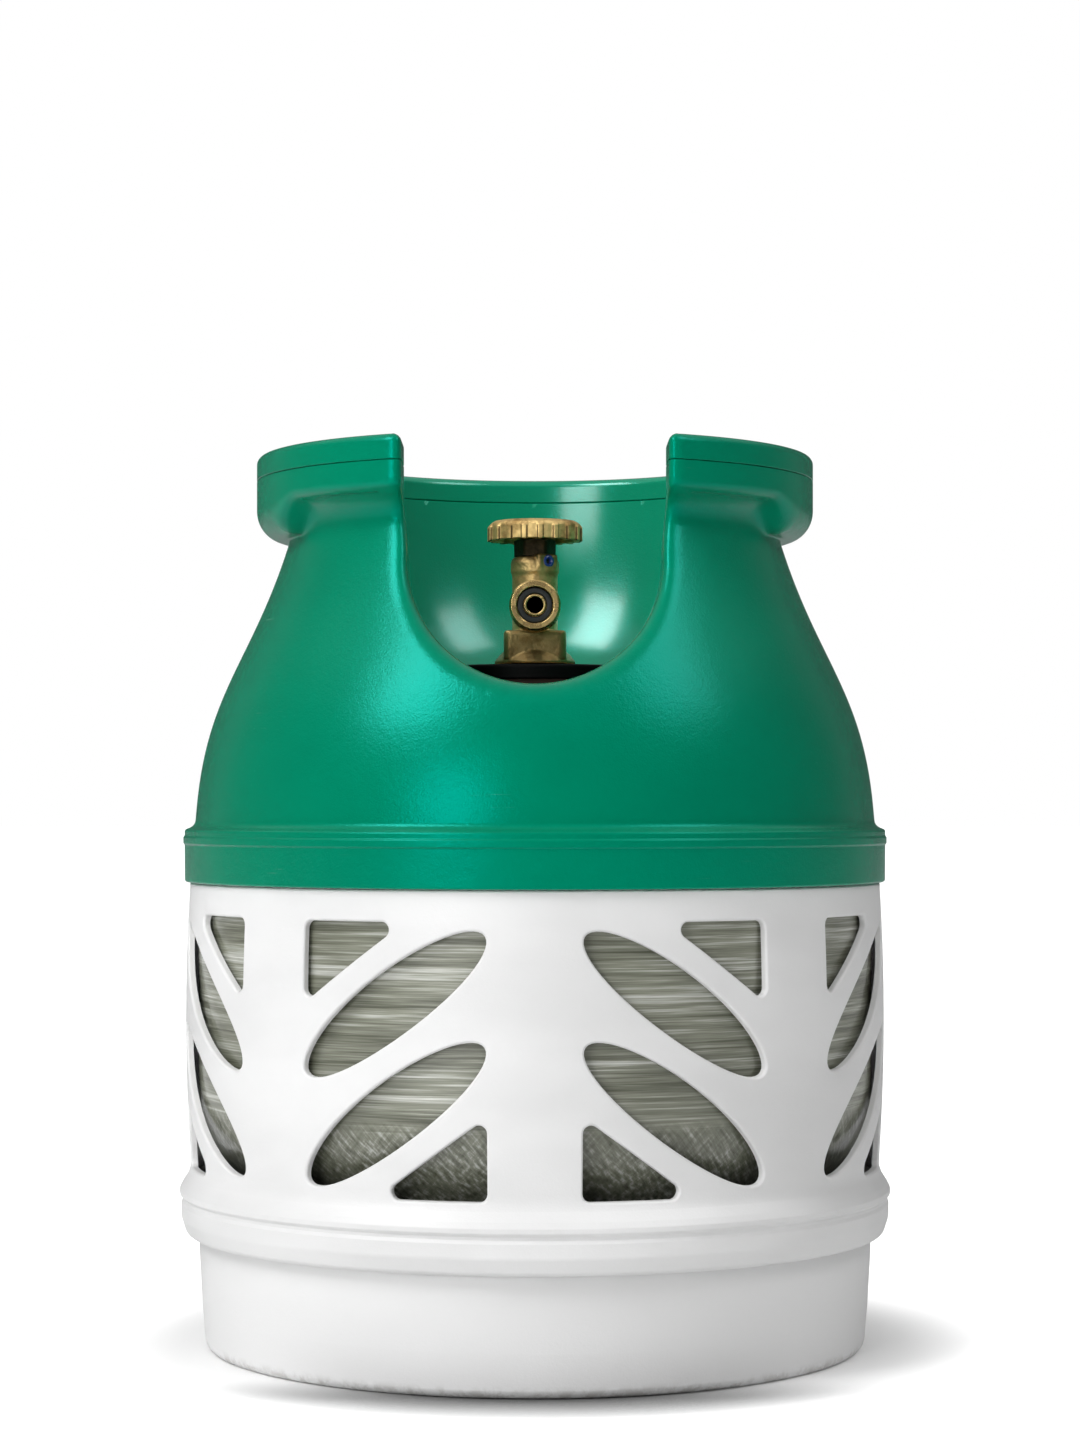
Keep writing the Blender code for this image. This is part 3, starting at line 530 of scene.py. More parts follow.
def turned_metal(name, colour, roughness, axis_z=None):
    """Lathe-turned metal with fine rings and light scratches, round Z or a level axis at a height."""
    paint = Paint(name, metallic=1.0)
    if axis_z is None:
        rings = paint.noise((30, 30, 5200), 2, 0.6)
    else:
        turned = {0: paint.from_axis("X", "Z", axis_z), 1: paint.part("Y")}
        rings = paint.noise(3200, 2, 0.6, paint.node("ShaderNodeCombineXYZ", None, turned))
    # Worn patches, darker and rougher.
    dimmed = paint.between(paint.noise(300, 3), 0.40, 0.70)
    paint.colour = paint.blend(dimmed * 0.5, colour, tuple(0.6 * channel for channel in colour))
    paint.set(base_color=paint.colour)
    paint.set(roughness=roughness + 0.15 * dimmed + 0.10 * (rings - 0.5))
    paint.emboss(rings, 0.00002)
    return paint


def soft_rubber(name, colour, roughness):
    """Black rubber with a powdery bloom."""
    paint = Paint(name)
    bloom = paint.noise(500, 4, 0.7)
    paint.set(base_color=paint.blend(paint.between(bloom, 0.5, 0.8) * 0.4, colour, (0.06, 0.06, 0.055)))
    paint.set(roughness=roughness + 0.15 * (bloom - 0.5))
    paint.emboss(paint.noise(1800, 2), 0.00004)
    return paint


def sealing_lacquer(colour):
    """Thick blue lacquer, brushed over the lock screw."""
    paint = Paint("blue_lacquer", coat_weight=0.6, coat_roughness=0.08)
    runs = paint.noise(700, 3)
    paint.set(base_color=paint.blend(runs, colour, (0.02, 0.05, 0.16)))
    paint.set(roughness=0.22 + 0.2 * runs)
    paint.emboss(runs, 0.0002)
    return paint


# ================================================================ settings
def colour_setting(name, description, default):
    """A colour property."""
    return FloatVectorProperty(name=name, description=description, subtype="COLOR", size=3,
                               min=0.0, max=1.0, default=default)


def length_setting(name, description, default):
    """A length property, in metres."""
    return FloatProperty(name=name, description=description, default=default, min=0.0,
                         subtype="DISTANCE", unit="LENGTH", precision=5)


class TankCasingSettings(bpy.types.PropertyGroup):
    """Sizes and colours of the plastic casing."""
    green: colour_setting("Green", "Colour of the top casing and its grip cap", (0.0, 0.205, 0.108))
    gloss_tint: colour_setting("Gloss Tint", "Tint of the green plastic's gloss", (0.0, 1.0, 0.92))
    white: colour_setting("White", "Colour of the sleeve and the base cup", (0.80, 0.80, 0.80))
    grain: length_setting("Grain", "Depth of the moulded grain", 0.00015)
    roll: length_setting("Opening Roll", "Reach of the rounded edge round the valve opening", 0.009)
    roll_at_rim: length_setting("Rim Roll", "Reach of that edge at the rim", 0.007)
    inner_roll: length_setting("Well Roll", "Reach of the rounded edge inside the well", 0.0065)
    cap_rounding: length_setting("Cap Rounding", "Rounding of the grip cap's top edges", 0.0034)
    seam_bevel: length_setting("Seam Bevel", "Bevel on both sides of the seam under the cap", 0.0003)
    window_rounding: length_setting("Window Edge", "Rounding of the windows' outer edges", 0.0012)


class TankVesselSettings(bpy.types.PropertyGroup):
    """Colours of the wound vessel."""
    fibre_colour: colour_setting("Fibre", "Main colour of the glass roving", (0.27, 0.28, 0.22))
    fibre_shade: colour_setting("Fibre Shade", "Colour between the strands", (0.085, 0.09, 0.06))
    fibre_glint: colour_setting("Fibre Glint", "Colour of the brightest strands", (0.80, 0.81, 0.77))
    sides: IntProperty(name="Sides", description="Faces round the vessel", default=160, min=24, max=512)


class TankValveSettings(bpy.types.PropertyGroup):
    """Sizes and colours of the valve."""
    brass: colour_setting("Brass", "Colour of the forged brass", (0.80, 0.57, 0.24))
    tarnish: colour_setting("Tarnish", "Colour of the brass where it has darkened", (0.30, 0.18, 0.06))
    lacquer: colour_setting("Lacquer", "Colour of the lock screw's lacquer", (0.01, 0.03, 0.35))
    thread_pitch: length_setting("Thread Pitch", "Pitch of the outlet's thread", 0.00181)
    wheel_ribs: IntProperty(name="Wheel Ribs", description="Ribs round the hand wheel", default=18,
                            min=6, max=48)
    rib_height: length_setting("Rib Height", "Height of each rib of the hand wheel", 0.0009)
    blend_grain: length_setting("Forging Grain", "Size of the cells that join the forged body", 0.00045)


def power_setting(name, description, default):
    """A light's power property."""
    return FloatProperty(name=name, description=description, default=default, min=0.0, subtype="POWER",
                         unit="POWER")


class TankStageSettings(bpy.types.PropertyGroup):
    """Light, floor and camera."""
    left: power_setting("Left Softbox", "Power of the raised softbox at the left", 25.0)
    right: power_setting("Right Softbox", "Power of the raised softbox at the right", 8.0)
    front: power_setting("Front Fill", "Power of the low fill left of the camera", 10.5)
    rim: power_setting("Rim Lights", "Power of each strip behind", 0.08)
    overhead: FloatProperty(name="Overhead", description="Strength of the wide light straight above",
                            default=0.80, min=0.0, max=20.0)
    sky: FloatProperty(name="Room Light", description="Strength of the room's even light", default=0.09,
                       min=0.0, max=4.0)
    floor_glow: FloatProperty(name="Floor Glow", default=0.90, min=0.0, max=1.0,
                              description="Light that the far floor adds for the camera")
    floor: colour_setting("Floor", "Colour of the floor", (0.95, 0.95, 0.95))


# ================================================================ stage
def add_area_light(name, power, size, place, target):
    """Add a soft rectangular light that faces a target."""
    light = bpy.data.lights.new(name, "AREA")
    light.shape = "RECTANGLE"
    light.energy = power
    light.size = size[0]
    light.size_y = size[1]
    lamp = bpy.data.objects.new(name, light)
    bpy.context.scene.collection.objects.link(lamp)
    lamp.location = place
    lamp.rotation_euler = (Vector(target) - Vector(place)).to_track_quat("-Z", "Y").to_euler()
    return lamp


def add_overhead(strength):
    """Add the wide light that comes straight down and keeps the whole floor pale."""
    light = bpy.data.lights.new("overhead", "SUN")
    light.energy = strength
    light.angle = math.radians(110)
    lamp = bpy.data.objects.new("overhead", light)
    lamp.location = (0.0, 0.0, 3.0)
    bpy.context.scene.collection.objects.link(lamp)


def add_floor(colour, glow):
    """Add the wide, softly mottled floor, with a painted contact shadow in front of the foot, and aglow
    further out.
    """
    half = 30.0
    mesh = bpy.data.meshes.new("floor")
    corners = [(-half, -half, 0.0), (half, -half, 0.0), (half, half, 0.0), (-half, half, 0.0)]
    mesh.from_pydata(corners, [], [(0, 1, 2, 3)])
    paint = Paint("floor")
    mottle = paint.noise(9, 3)
    tone = paint.blend(mottle, tuple(0.985 * channel for channel in colour), colour)
    # Painted contact shadow: ambient occlusion darkens the floor colour near the foot, mostly in front
    # of it.
    open_sky = paint.node("ShaderNodeAmbientOcclusion", {"samples": 8}, {"Distance": 0.07}, "AO")
    behind = paint.between(paint.part("Y"), -0.14, -0.09)
    outside_painted_shadow = 1.0 - (1.0 - paint.between(open_sky, 0.48, 0.95)) * (1.0 - 0.92 * behind)
    paint.set(base_color=paint.blend(outside_painted_shadow, (0.12, 0.12, 0.12), tone))
    paint.set(roughness=0.55 + 0.05 * mottle)
    seen = paint.node("ShaderNodeLightPath", output="Is Camera Ray")
    away = paint.node("ShaderNodeVectorMath", {"operation": "LENGTH"}, {0: paint.place}, "Value")
    far = 0.10 + paint.between(away, 0.14, 0.24) * glow
    paint.set(emission_color=seen * outside_painted_shadow * far, emission_strength=1.0)
    mesh.materials.append(paint.material)
    floor = bpy.data.objects.new("floor", mesh)
    bpy.context.scene.collection.objects.link(floor)


def light_room(strength):
    """White surroundings that light the object less brightly than they look."""
    world = bpy.data.worlds.new("room")
    world.use_nodes = True
    bpy.context.scene.world = world
    nodes = world.node_tree.nodes
    links = world.node_tree.links
    seen = nodes["Background"]
    seen.inputs["Color"].default_value = (1.0, 1.0, 1.0, 1.0)
    seen.inputs["Strength"].default_value = 1.0
    lit = nodes.new("ShaderNodeBackground")
    lit.inputs["Color"].default_value = (1.0, 1.0, 1.0, 1.0)
    lit.inputs["Strength"].default_value = strength
    path = nodes.new("ShaderNodeLightPath")
    mix = nodes.new("ShaderNodeMixShader")
    links.new(path.outputs["Is Camera Ray"], mix.inputs["Fac"])
    links.new(lit.outputs["Background"], mix.inputs[1])
    links.new(seen.outputs["Background"], mix.inputs[2])
    links.new(mix.outputs["Shader"], nodes["World Output"].inputs["Surface"])


def add_camera():
    """Add the camera, level and straight in front."""
    camera = bpy.data.cameras.new("camera")
    camera.lens = 81.05
    camera.sensor_width = 36.0
    camera.shift_x = 0.0035
    camera.shift_y = 0.0576
    viewer = bpy.data.objects.new("camera", camera)
    viewer.location = (0.0, -1.40, 0.232)
    viewer.rotation_euler = (math.radians(90), 0.0, 0.0)
    bpy.context.scene.collection.objects.link(viewer)
    bpy.context.scene.camera = viewer


class TANK_OT_stage(bpy.types.Operator):
    """Add the floor, the studio lights and the camera"""
    bl_idname = "tank.stage"
    bl_label = "Stage"

    def execute(self, context):
        settings = context.scene.tank_stage
        middle = (0.0, 0.0, TOP_Z * 0.55)
        add_floor(settings.floor, settings.floor_glow)
        light_room(settings.sky)
        add_overhead(settings.overhead)
        add_area_light("left_softbox", settings.left, (0.85, 0.95), (-1.10, -0.95, 1.60), middle)
        add_area_light("right_softbox", settings.right, (0.75, 0.85), (1.15, -0.70, 1.60), middle)
        add_area_light("front_fill", settings.front, (0.8, 0.6), (-0.95, -1.85, 0.62), middle)
        for side in (-1, 1):
            add_area_light("rim_light", settings.rim, (0.30, 1.0), (side * 0.95, 0.75, 0.60), middle)
        add_camera()
        context.scene.view_settings.view_transform = "Standard"
        return {"FINISHED"}


# ================================================================ vessel
def dome_points(centre_z, depth, start, end, steps):
    """Smooth outline points along one dome, angles in degrees from the straight wall."""
    points = []
    for step in range(steps + 1):
        angle = math.radians(mixed(start, end, step / steps))
        points.append((VESSEL_R * math.cos(angle), centre_z + depth * math.sin(angle), None))
    return points


def upper_dome_z(radius):
    """Height of the vessel's upper dome at a radius."""
    return CYLINDER_HIGH_Z + UPPER_DOME * math.sqrt(1.0 - (radius / VESSEL_R) ** 2)


def lower_dome_z(radius):
    """Height of the vessel's lower dome at a radius."""
    return CYLINDER_LOW_Z - LOWER_DOME * math.sqrt(1.0 - (radius / VESSEL_R) ** 2)


class TANK_OT_vessel(bpy.types.Operator):
    """Add the wound composite shell and the collar on its neck"""
    bl_idname = "tank.vessel"
    bl_label = "Vessel"

    def execute(self, context):
        settings = context.scene.tank_vessel
        top_angle = math.degrees(math.acos(NECK_HOLE_R / VESSEL_R))
        corners = dome_points(CYLINDER_LOW_Z, LOWER_DOME, -90, 0, 30)
        corners += dome_points(CYLINDER_HIGH_Z, UPPER_DOME, 0, top_angle, 30)
        corners += [(NECK_HOLE_R, upper_dome_z(NECK_HOLE_R) - 0.004, 0)]
        corners[-2] = (*corners[-2][:2], 0.0005)
        shell = Skin()
        shell.turn(outline(corners), settings.sides)
        add_piece("wound_shell", shell, wound_fibre(settings), "tank", "composite_shell")

        collar = Skin()
        low = 0.0003
        middle_r = 0.035
        groove_z = COLLAR_TOP_Z - 0.0007
        corners = [(NECK_HOLE_R, upper_dome_z(NECK_HOLE_R) + low, 0),
                   (middle_r, upper_dome_z(middle_r) + low, 0),
                   (COLLAR_R, upper_dome_z(COLLAR_R) + low, 0.0004), (COLLAR_R, COLLAR_TOP_Z, 0.0014),
                   (COLLAR_R - 0.0040, COLLAR_TOP_Z, 0.0004), (COLLAR_R - 0.0046, groove_z, 0.0003),
                   (0.0245, groove_z, 0.0003), (0.0240, COLLAR_TOP_Z, 0.0004),
                   (NECK_HOLE_R, COLLAR_TOP_Z, 0.0003)]
        collar.turn(outline(corners, closed=True), 128, closed=True)
        plastic = moulded_plastic("black_plastic", (0.001, 0.001, 0.001), 0.00005, 0.50, 0.10)
        add_piece("neck_ring", collar, plastic, "tank", "neck_collar")
        return {"FINISHED"}


# ================================================================ white casing
class TANK_OT_base_cup(bpy.types.Operator):
    """Add the white cup that the tank stands on"""
    bl_idname = "tank.base_cup"
    bl_label = "Base Cup"

    def execute(self, context):
        settings = context.scene.tank_casing
        recess_z = 0.012
        floor_z = 0.015
        wall = 0.003
        seat = (0.060, 0.066)
        drain_r = 0.040
        foot_r = 0.1325
        under = 0.0006
        corners = [(foot_r, recess_z, 0.002), (foot_r, 0.0, 0.0012), (0.1412, 0.0, 0.0042),
                   (0.1428, 0.018, 0.02), (CUP_R, 0.041, 0.03), (CUP_R, CUP_TOP_Z, 0.0008),
                   (CUP_R - wall, CUP_TOP_Z, 0.0008), (CUP_R - wall, 0.041, 0.01),
                   (0.1396, floor_z, 0.002),
                   (seat[1], floor_z, 0.001), (seat[1], lower_dome_z(seat[1]) - under, 0.0006),
                   (seat[0], lower_dome_z(seat[0]) - under, 0.0006), (seat[0], floor_z, 0.001),
                   (drain_r, floor_z, 0.0006), (drain_r, recess_z, 0.0006)]
        cup = Skin()
        cup.turn(outline(corners, closed=True), 256, closed=True)
        plastic = moulded_plastic("white_plastic_foot", settings.white, settings.grain * 0.5, 0.42)
        soiled_foot(plastic, settings.white)
        add_piece("foot_cup", cup, plastic, "tank", "base_cup")
        return {"FINISHED"}


def sleeve_radius(height):
    """Outer radius of the barrelled sleeve, which flares into the ring below."""
    flare = max(0.079 - height, 0.0) / 0.006
    return SLEEVE_R - 0.0020 * ((height - SLEEVE_MID_Z) / 0.060) ** 2 + 0.0022 * flare ** 2


def ellipse_window(centre_z, steps=56):
    """Outline of a leaning ellipse: (point, outward normal) pairs along the wall and over its middle."""
    pairs = []
    lean = Matrix.Rotation(-ELLIPSE_LEAN, 2)
    for step in range(steps):
        angle = 2.0 * math.pi * step / steps
        long, short = ELLIPSE_HALF
        point = lean @ Vector((long * math.cos(angle), short * math.sin(angle)))
        normal = lean @ Vector((short * math.cos(angle), long * math.sin(angle))).normalized()
        pairs.append((point + Vector((0.0, centre_z)), normal))
    return pairs


def triangle_window(side, rounding=0.0032, spacing=0.0025):
    """Outline of a right-angled window with round corners, above the middle for side 1, below for -1."""
    far, high = TRIANGLE_CORNER
    corners = [(far, high, rounding), (far - TRIANGLE_LEGS[0], high, rounding),
               (far, high - TRIANGLE_LEGS[1], rounding)]
    rounded = outline(corners, closed=True)
    pairs = []
    for index, (point, normal) in enumerate(rounded):
        pairs.append((point, normal))
        after = rounded[(index + 1) % len(rounded)][0]
        pieces = int((after - point).length / spacing)
        pairs += [(point.lerp(after, step / pieces), normal) for step in range(1, pieces)]
    return [(point * side + Vector((0.0, WINDOW_MID_Z)), normal * side) for point, normal in pairs]


def inside_loop(loop, point):
    """Whether a 2-D point lies inside a closed loop."""
    inside = False
    for here, there in zip(loop, loop[1:] + loop[:1]):
        if (here[1] > point[1]) != (there[1] > point[1]):
            share = (point[1] - here[1]) / (there[1] - here[1])
            if point[0] < mixed(here[0], there[0], share):
                inside = not inside
    return inside


def fill_between(border, holes, inner):
    """Triangles over a bordered area with holes, through the loops' points and the inner points.

    Returns the points and the triangles that use them.
    """
    points = []
    edges = []
    for loop in [border] + holes:
        first = len(points)
        points += [Vector(point) for point in loop]
        edges += [(first + index, first + (index + 1) % len(loop)) for index in range(len(loop))]
    points += [Vector(point) for point in inner]
    made = geometry.delaunay_2d_cdt(points, edges, [], 0, 1e-9)
    if len(made[0]) != len(points):
        raise RuntimeError("the outlines of a pierced wall cross each other")
    faces = []
    for face in made[2]:
        centre = sum((points[index] for index in face), Vector((0.0, 0.0))) / len(face)
        if inside_loop(border, centre) and not any(inside_loop(hole, centre) for hole in holes):
            faces.append(tuple(face))
    return points, faces


def grown(pairs, distance):
    """The points of a window outline, moved outwards."""
    return [tuple(point + normal * distance) for point, normal in pairs]


def nearest(pairs, point):
    """Distance from a 2-D point to the nearest point of a window outline."""
    return min((place - point).length for place, _ in pairs)


class TANK_OT_sleeve(bpy.types.Operator):
    """Add the white sleeve with its leaning windows and its lower ring"""
    bl_idname = "tank.sleeve"
    bl_label = "Sleeve"

    COLUMNS = 32             # across one group of windows
    ROWS = 36

    def execute(self, context):
        settings = context.scene.tank_casing
        windows = [ellipse_window(WINDOW_MID_Z + ELLIPSE_RISE),
                   ellipse_window(WINDOW_MID_Z - ELLIPSE_RISE), triangle_window(1), triangle_window(-1)]
        rounding = settings.window_rounding
        sleeve = Skin()
        outer = self.pierced_wall(windows, rounding)
        inner = self.pierced_wall(windows, 0.0)
        for group in range(WINDOW_GROUPS):
            middle = (group + 0.5) * 2.0 * math.pi / WINDOW_GROUPS
            mirror = 1 if group % 2 == 0 else -1
            self.add_wall(sleeve, outer, middle, mirror, 0.0, 1.0)
            self.add_wall(sleeve, inner, middle, mirror, SLEEVE_WALL, -1.0)
            for window in windows:
                self.add_reveal(sleeve, window, middle, mirror, rounding)
        sides = self.COLUMNS * WINDOW_GROUPS
        sleeve.turn(outline(self.ring_corners()), sides)
        sleeve.turn(outline(self.tuck_corners()), sides)
        plastic = moulded_plastic("white_plastic", settings.white, settings.grain * 0.5, 0.42)
        add_piece("window_sleeve", sleeve, plastic, "tank", "middle_sleeve")
        return {"FINISHED"}

    def pierced_wall(self, windows, growth):
        """Triangles over one group's stretch of wall, with the windows grown by an edge rounding."""
        half = SLEEVE_R * math.pi / WINDOW_GROUPS
        across = steps_between(-half, half, self.COLUMNS)
        heights = steps_between(WALL_LOW_Z, WALL_HIGH_Z, self.ROWS)
        border = [(x, WALL_LOW_Z) for x in across] + [(half, z) for z in heights[1:-1]]
        border += [(x, WALL_HIGH_Z) for x in reversed(across)]
        border += [(-half, z) for z in reversed(heights[1:-1])]
        holes = [grown(window, growth) for window in windows]
        inner = []
        for x in across[1:-1]:
            for z in heights[1:-1]:
                place = Vector((x, z))
                clear = all(nearest(window, place) > growth + 0.0015 for window in windows)
                if clear and not any(inside_loop(hole, place) for hole in holes):
                    inner.append((x, z))
        return fill_between(border, holes, inner)

    def wall_place(self, x, z, middle, mirror, depth):
        """Point of the wall, from its place along and up the wall and its depth in it."""
        return around(sleeve_radius(z) - depth, middle + mirror * x / SLEEVE_R, z)

    def wall_normal(self, x, z, middle, mirror):
        """Outward direction of the wall."""
        step = 1e-4
        slope = (sleeve_radius(z + step) - sleeve_radius(z - step)) / (2 * step)
        return (around(1.0, middle + mirror * x / SLEEVE_R, -slope)).normalized()

    def add_wall(self, sleeve, filled, middle, mirror, depth, facing):
        """Add the outer or inner face of one group's wall."""
        points, faces = filled
        places = [self.wall_place(x, z, middle, mirror, depth) for x, z in points]
        normals = [facing * self.wall_normal(x, z, middle, mirror) for x, z in points]
        sleeve.patch(places, normals, faces)

    def add_reveal(self, sleeve, window, middle, mirror, rounding):
        """Add a window's rounded edge and the cut face through the wall."""
        levels = []
        for angle in steps_between(0.0, math.pi / 2, 4):
            rise, sink = 1.0 - math.sin(angle), 1.0 - math.cos(angle)
            levels.append((rounding * rise, rounding * sink, angle))
        levels.append((0.0, SLEEVE_WALL, math.pi / 2))
        rows = []
        normals = []
        for growth, depth, angle in levels:
            row = []
            row_normals = []
            for point, normal in window:
                x, z = point + normal * growth
                place = self.wall_place(x, z, middle, mirror, depth)
                ahead_x, ahead_z = point + normal * (growth + 0.001)
                ahead = self.wall_place(ahead_x, ahead_z, middle, mirror, depth)
                outward = self.wall_normal(x, z, middle, mirror)
                facing = outward * math.cos(angle) - (ahead - place).normalized() * math.sin(angle)
                row.append(place)
                row_normals.append(facing.normalized())
            rows.append(row)
            normals.append(row_normals)
        sleeve.grid(rows, normals, closed=True)

    def ring_corners(self):
        """Outline of the lower ring, up to the wall."""
        inner_r = 0.1450
        low = SLEEVE_LOW_Z
        return [(inner_r, WALL_LOW_Z, 0), (inner_r, low, 0.0009), (RING_R - 0.0030, low, 0.0040),
                (RING_R - 0.0007, low + 0.0072, 0.0060), (RING_R - 0.0007, 0.0618, 0.0008),
                (RING_R - 0.0013, 0.0632, 0.0006), (RING_R - 0.0013, 0.0646, 0.0005),
                (RING_R, 0.0658, 0.0009), (RING_R, 0.0678, 0.0012), (RING_R - 0.0012, 0.0702, 0.0016),
                (sleeve_radius(WALL_LOW_Z), WALL_LOW_Z, 0)]

    def tuck_corners(self):
        """Outline of the wall's top, where it steps in behind the green band."""
        tuck_r = 0.1468
        top_r = sleeve_radius(WALL_HIGH_Z)
        wall = 0.0022
        return [(top_r, WALL_HIGH_Z, 0), (top_r, BAND_LOW_Z - 0.0006, 0.0010),
                (tuck_r, BAND_LOW_Z - 0.0002, 0.0003), (tuck_r, SLEEVE_TOP_Z, 0.0005),
                (tuck_r - wall, SLEEVE_TOP_Z, 0.0005), (tuck_r - wall, BAND_LOW_Z - 0.0010, 0),
                (top_r - SLEEVE_WALL, WALL_HIGH_Z, 0)]


# ================================================================ green casing
def bell_lip(share, front):
    """(radius, height) of the bell (share 0 to 1) and its lip (1 to 2), in front or at the side."""
    seam_z = SEAM_LOW_Z - 0.0003
    if share <= 1.0:
        return bezier(BELL, share)
    neck = Vector(BELL[3])
    leave = (neck - Vector(BELL[2])).normalized()
    if front:
        if share < 1.5:
            curve = (neck, neck + leave * 0.0082, (0.1085, 0.3562), (0.1150, 0.3572))
            return bezier(curve, (share - 1.0) / 0.5)
        if share < 1.8:
            curve = ((0.1150, 0.3572), (0.1180, 0.3577), (RIM_R, 0.3590), (RIM_R, 0.3615))
            return bezier(curve, (share - 1.5) / 0.3)
        return Vector((RIM_R, mixed(0.3615, seam_z, (share - 1.8) / 0.2)))
    if share < 1.3:
        curve = (neck, neck + leave * 0.0014, (0.1068, 0.3446), (0.1085, 0.3446))
        return bezier(curve, (share - 1.0) / 0.3)
    if share < 1.8:
        angle = math.pi / 2 * (share - 1.3) / 0.5
        return Vector((0.1085 + (RIM_R - 0.1085) * math.sin(angle), 0.3570 - 0.0124 * math.cos(angle)))
    return Vector((RIM_R, mixed(0.3570, seam_z, (share - 1.8) / 0.2)))


def casing_place(turn, share):
    """Point of the casing's outer skin at a turn from the front and a share up the bell and lip."""
    side = smooth(turn, *LIP_TURN)
    if side <= 0.0:
        radius, height = bell_lip(share, True)
    elif side >= 1.0:
        radius, height = bell_lip(share, False)
    else:
        radius, height = bell_lip(share, True).lerp(bell_lip(share, False), side)
    return around(radius, turn, height)


@functools.lru_cache(maxsize=None)
def well_radius(height):
    """Radius of the well's wall, and of the hole in its floor below that."""
    if height <= WELL_FLOOR_Z:
        return WELL_HOLE_R
    share = share_at_height(lambda s: bezier(WELL_WALL, s), height)
    return bezier(WELL_WALL, share).x


def opening_point(walk):
    """(x, z) of half the opening, from its lowest point (0) round the arc (1) to the seam (2)."""
    if walk <= 1.0:
        angle = math.pi / 2 * walk
        return Vector((OPENING_R * math.sin(angle), OPENING_MID_Z - OPENING_R * math.cos(angle)))
    height = mixed(OPENING_MID_Z, SEAM_LOW_Z - 0.0003, walk - 1.0)
    return Vector((opening_half(height), height))


def opening_half(height):
    """Half width of the opening above its arc."""
    return mixed(OPENING_R, OPENING_TOP_HALF, smooth(height, OPENING_MID_Z, 0.3600))


def opening_side(walk):
    """(x, z) direction out of the opening, into the casing."""
    angle = math.pi / 2 * min(walk, 1.0)
    return Vector((math.sin(angle), -math.cos(angle)))


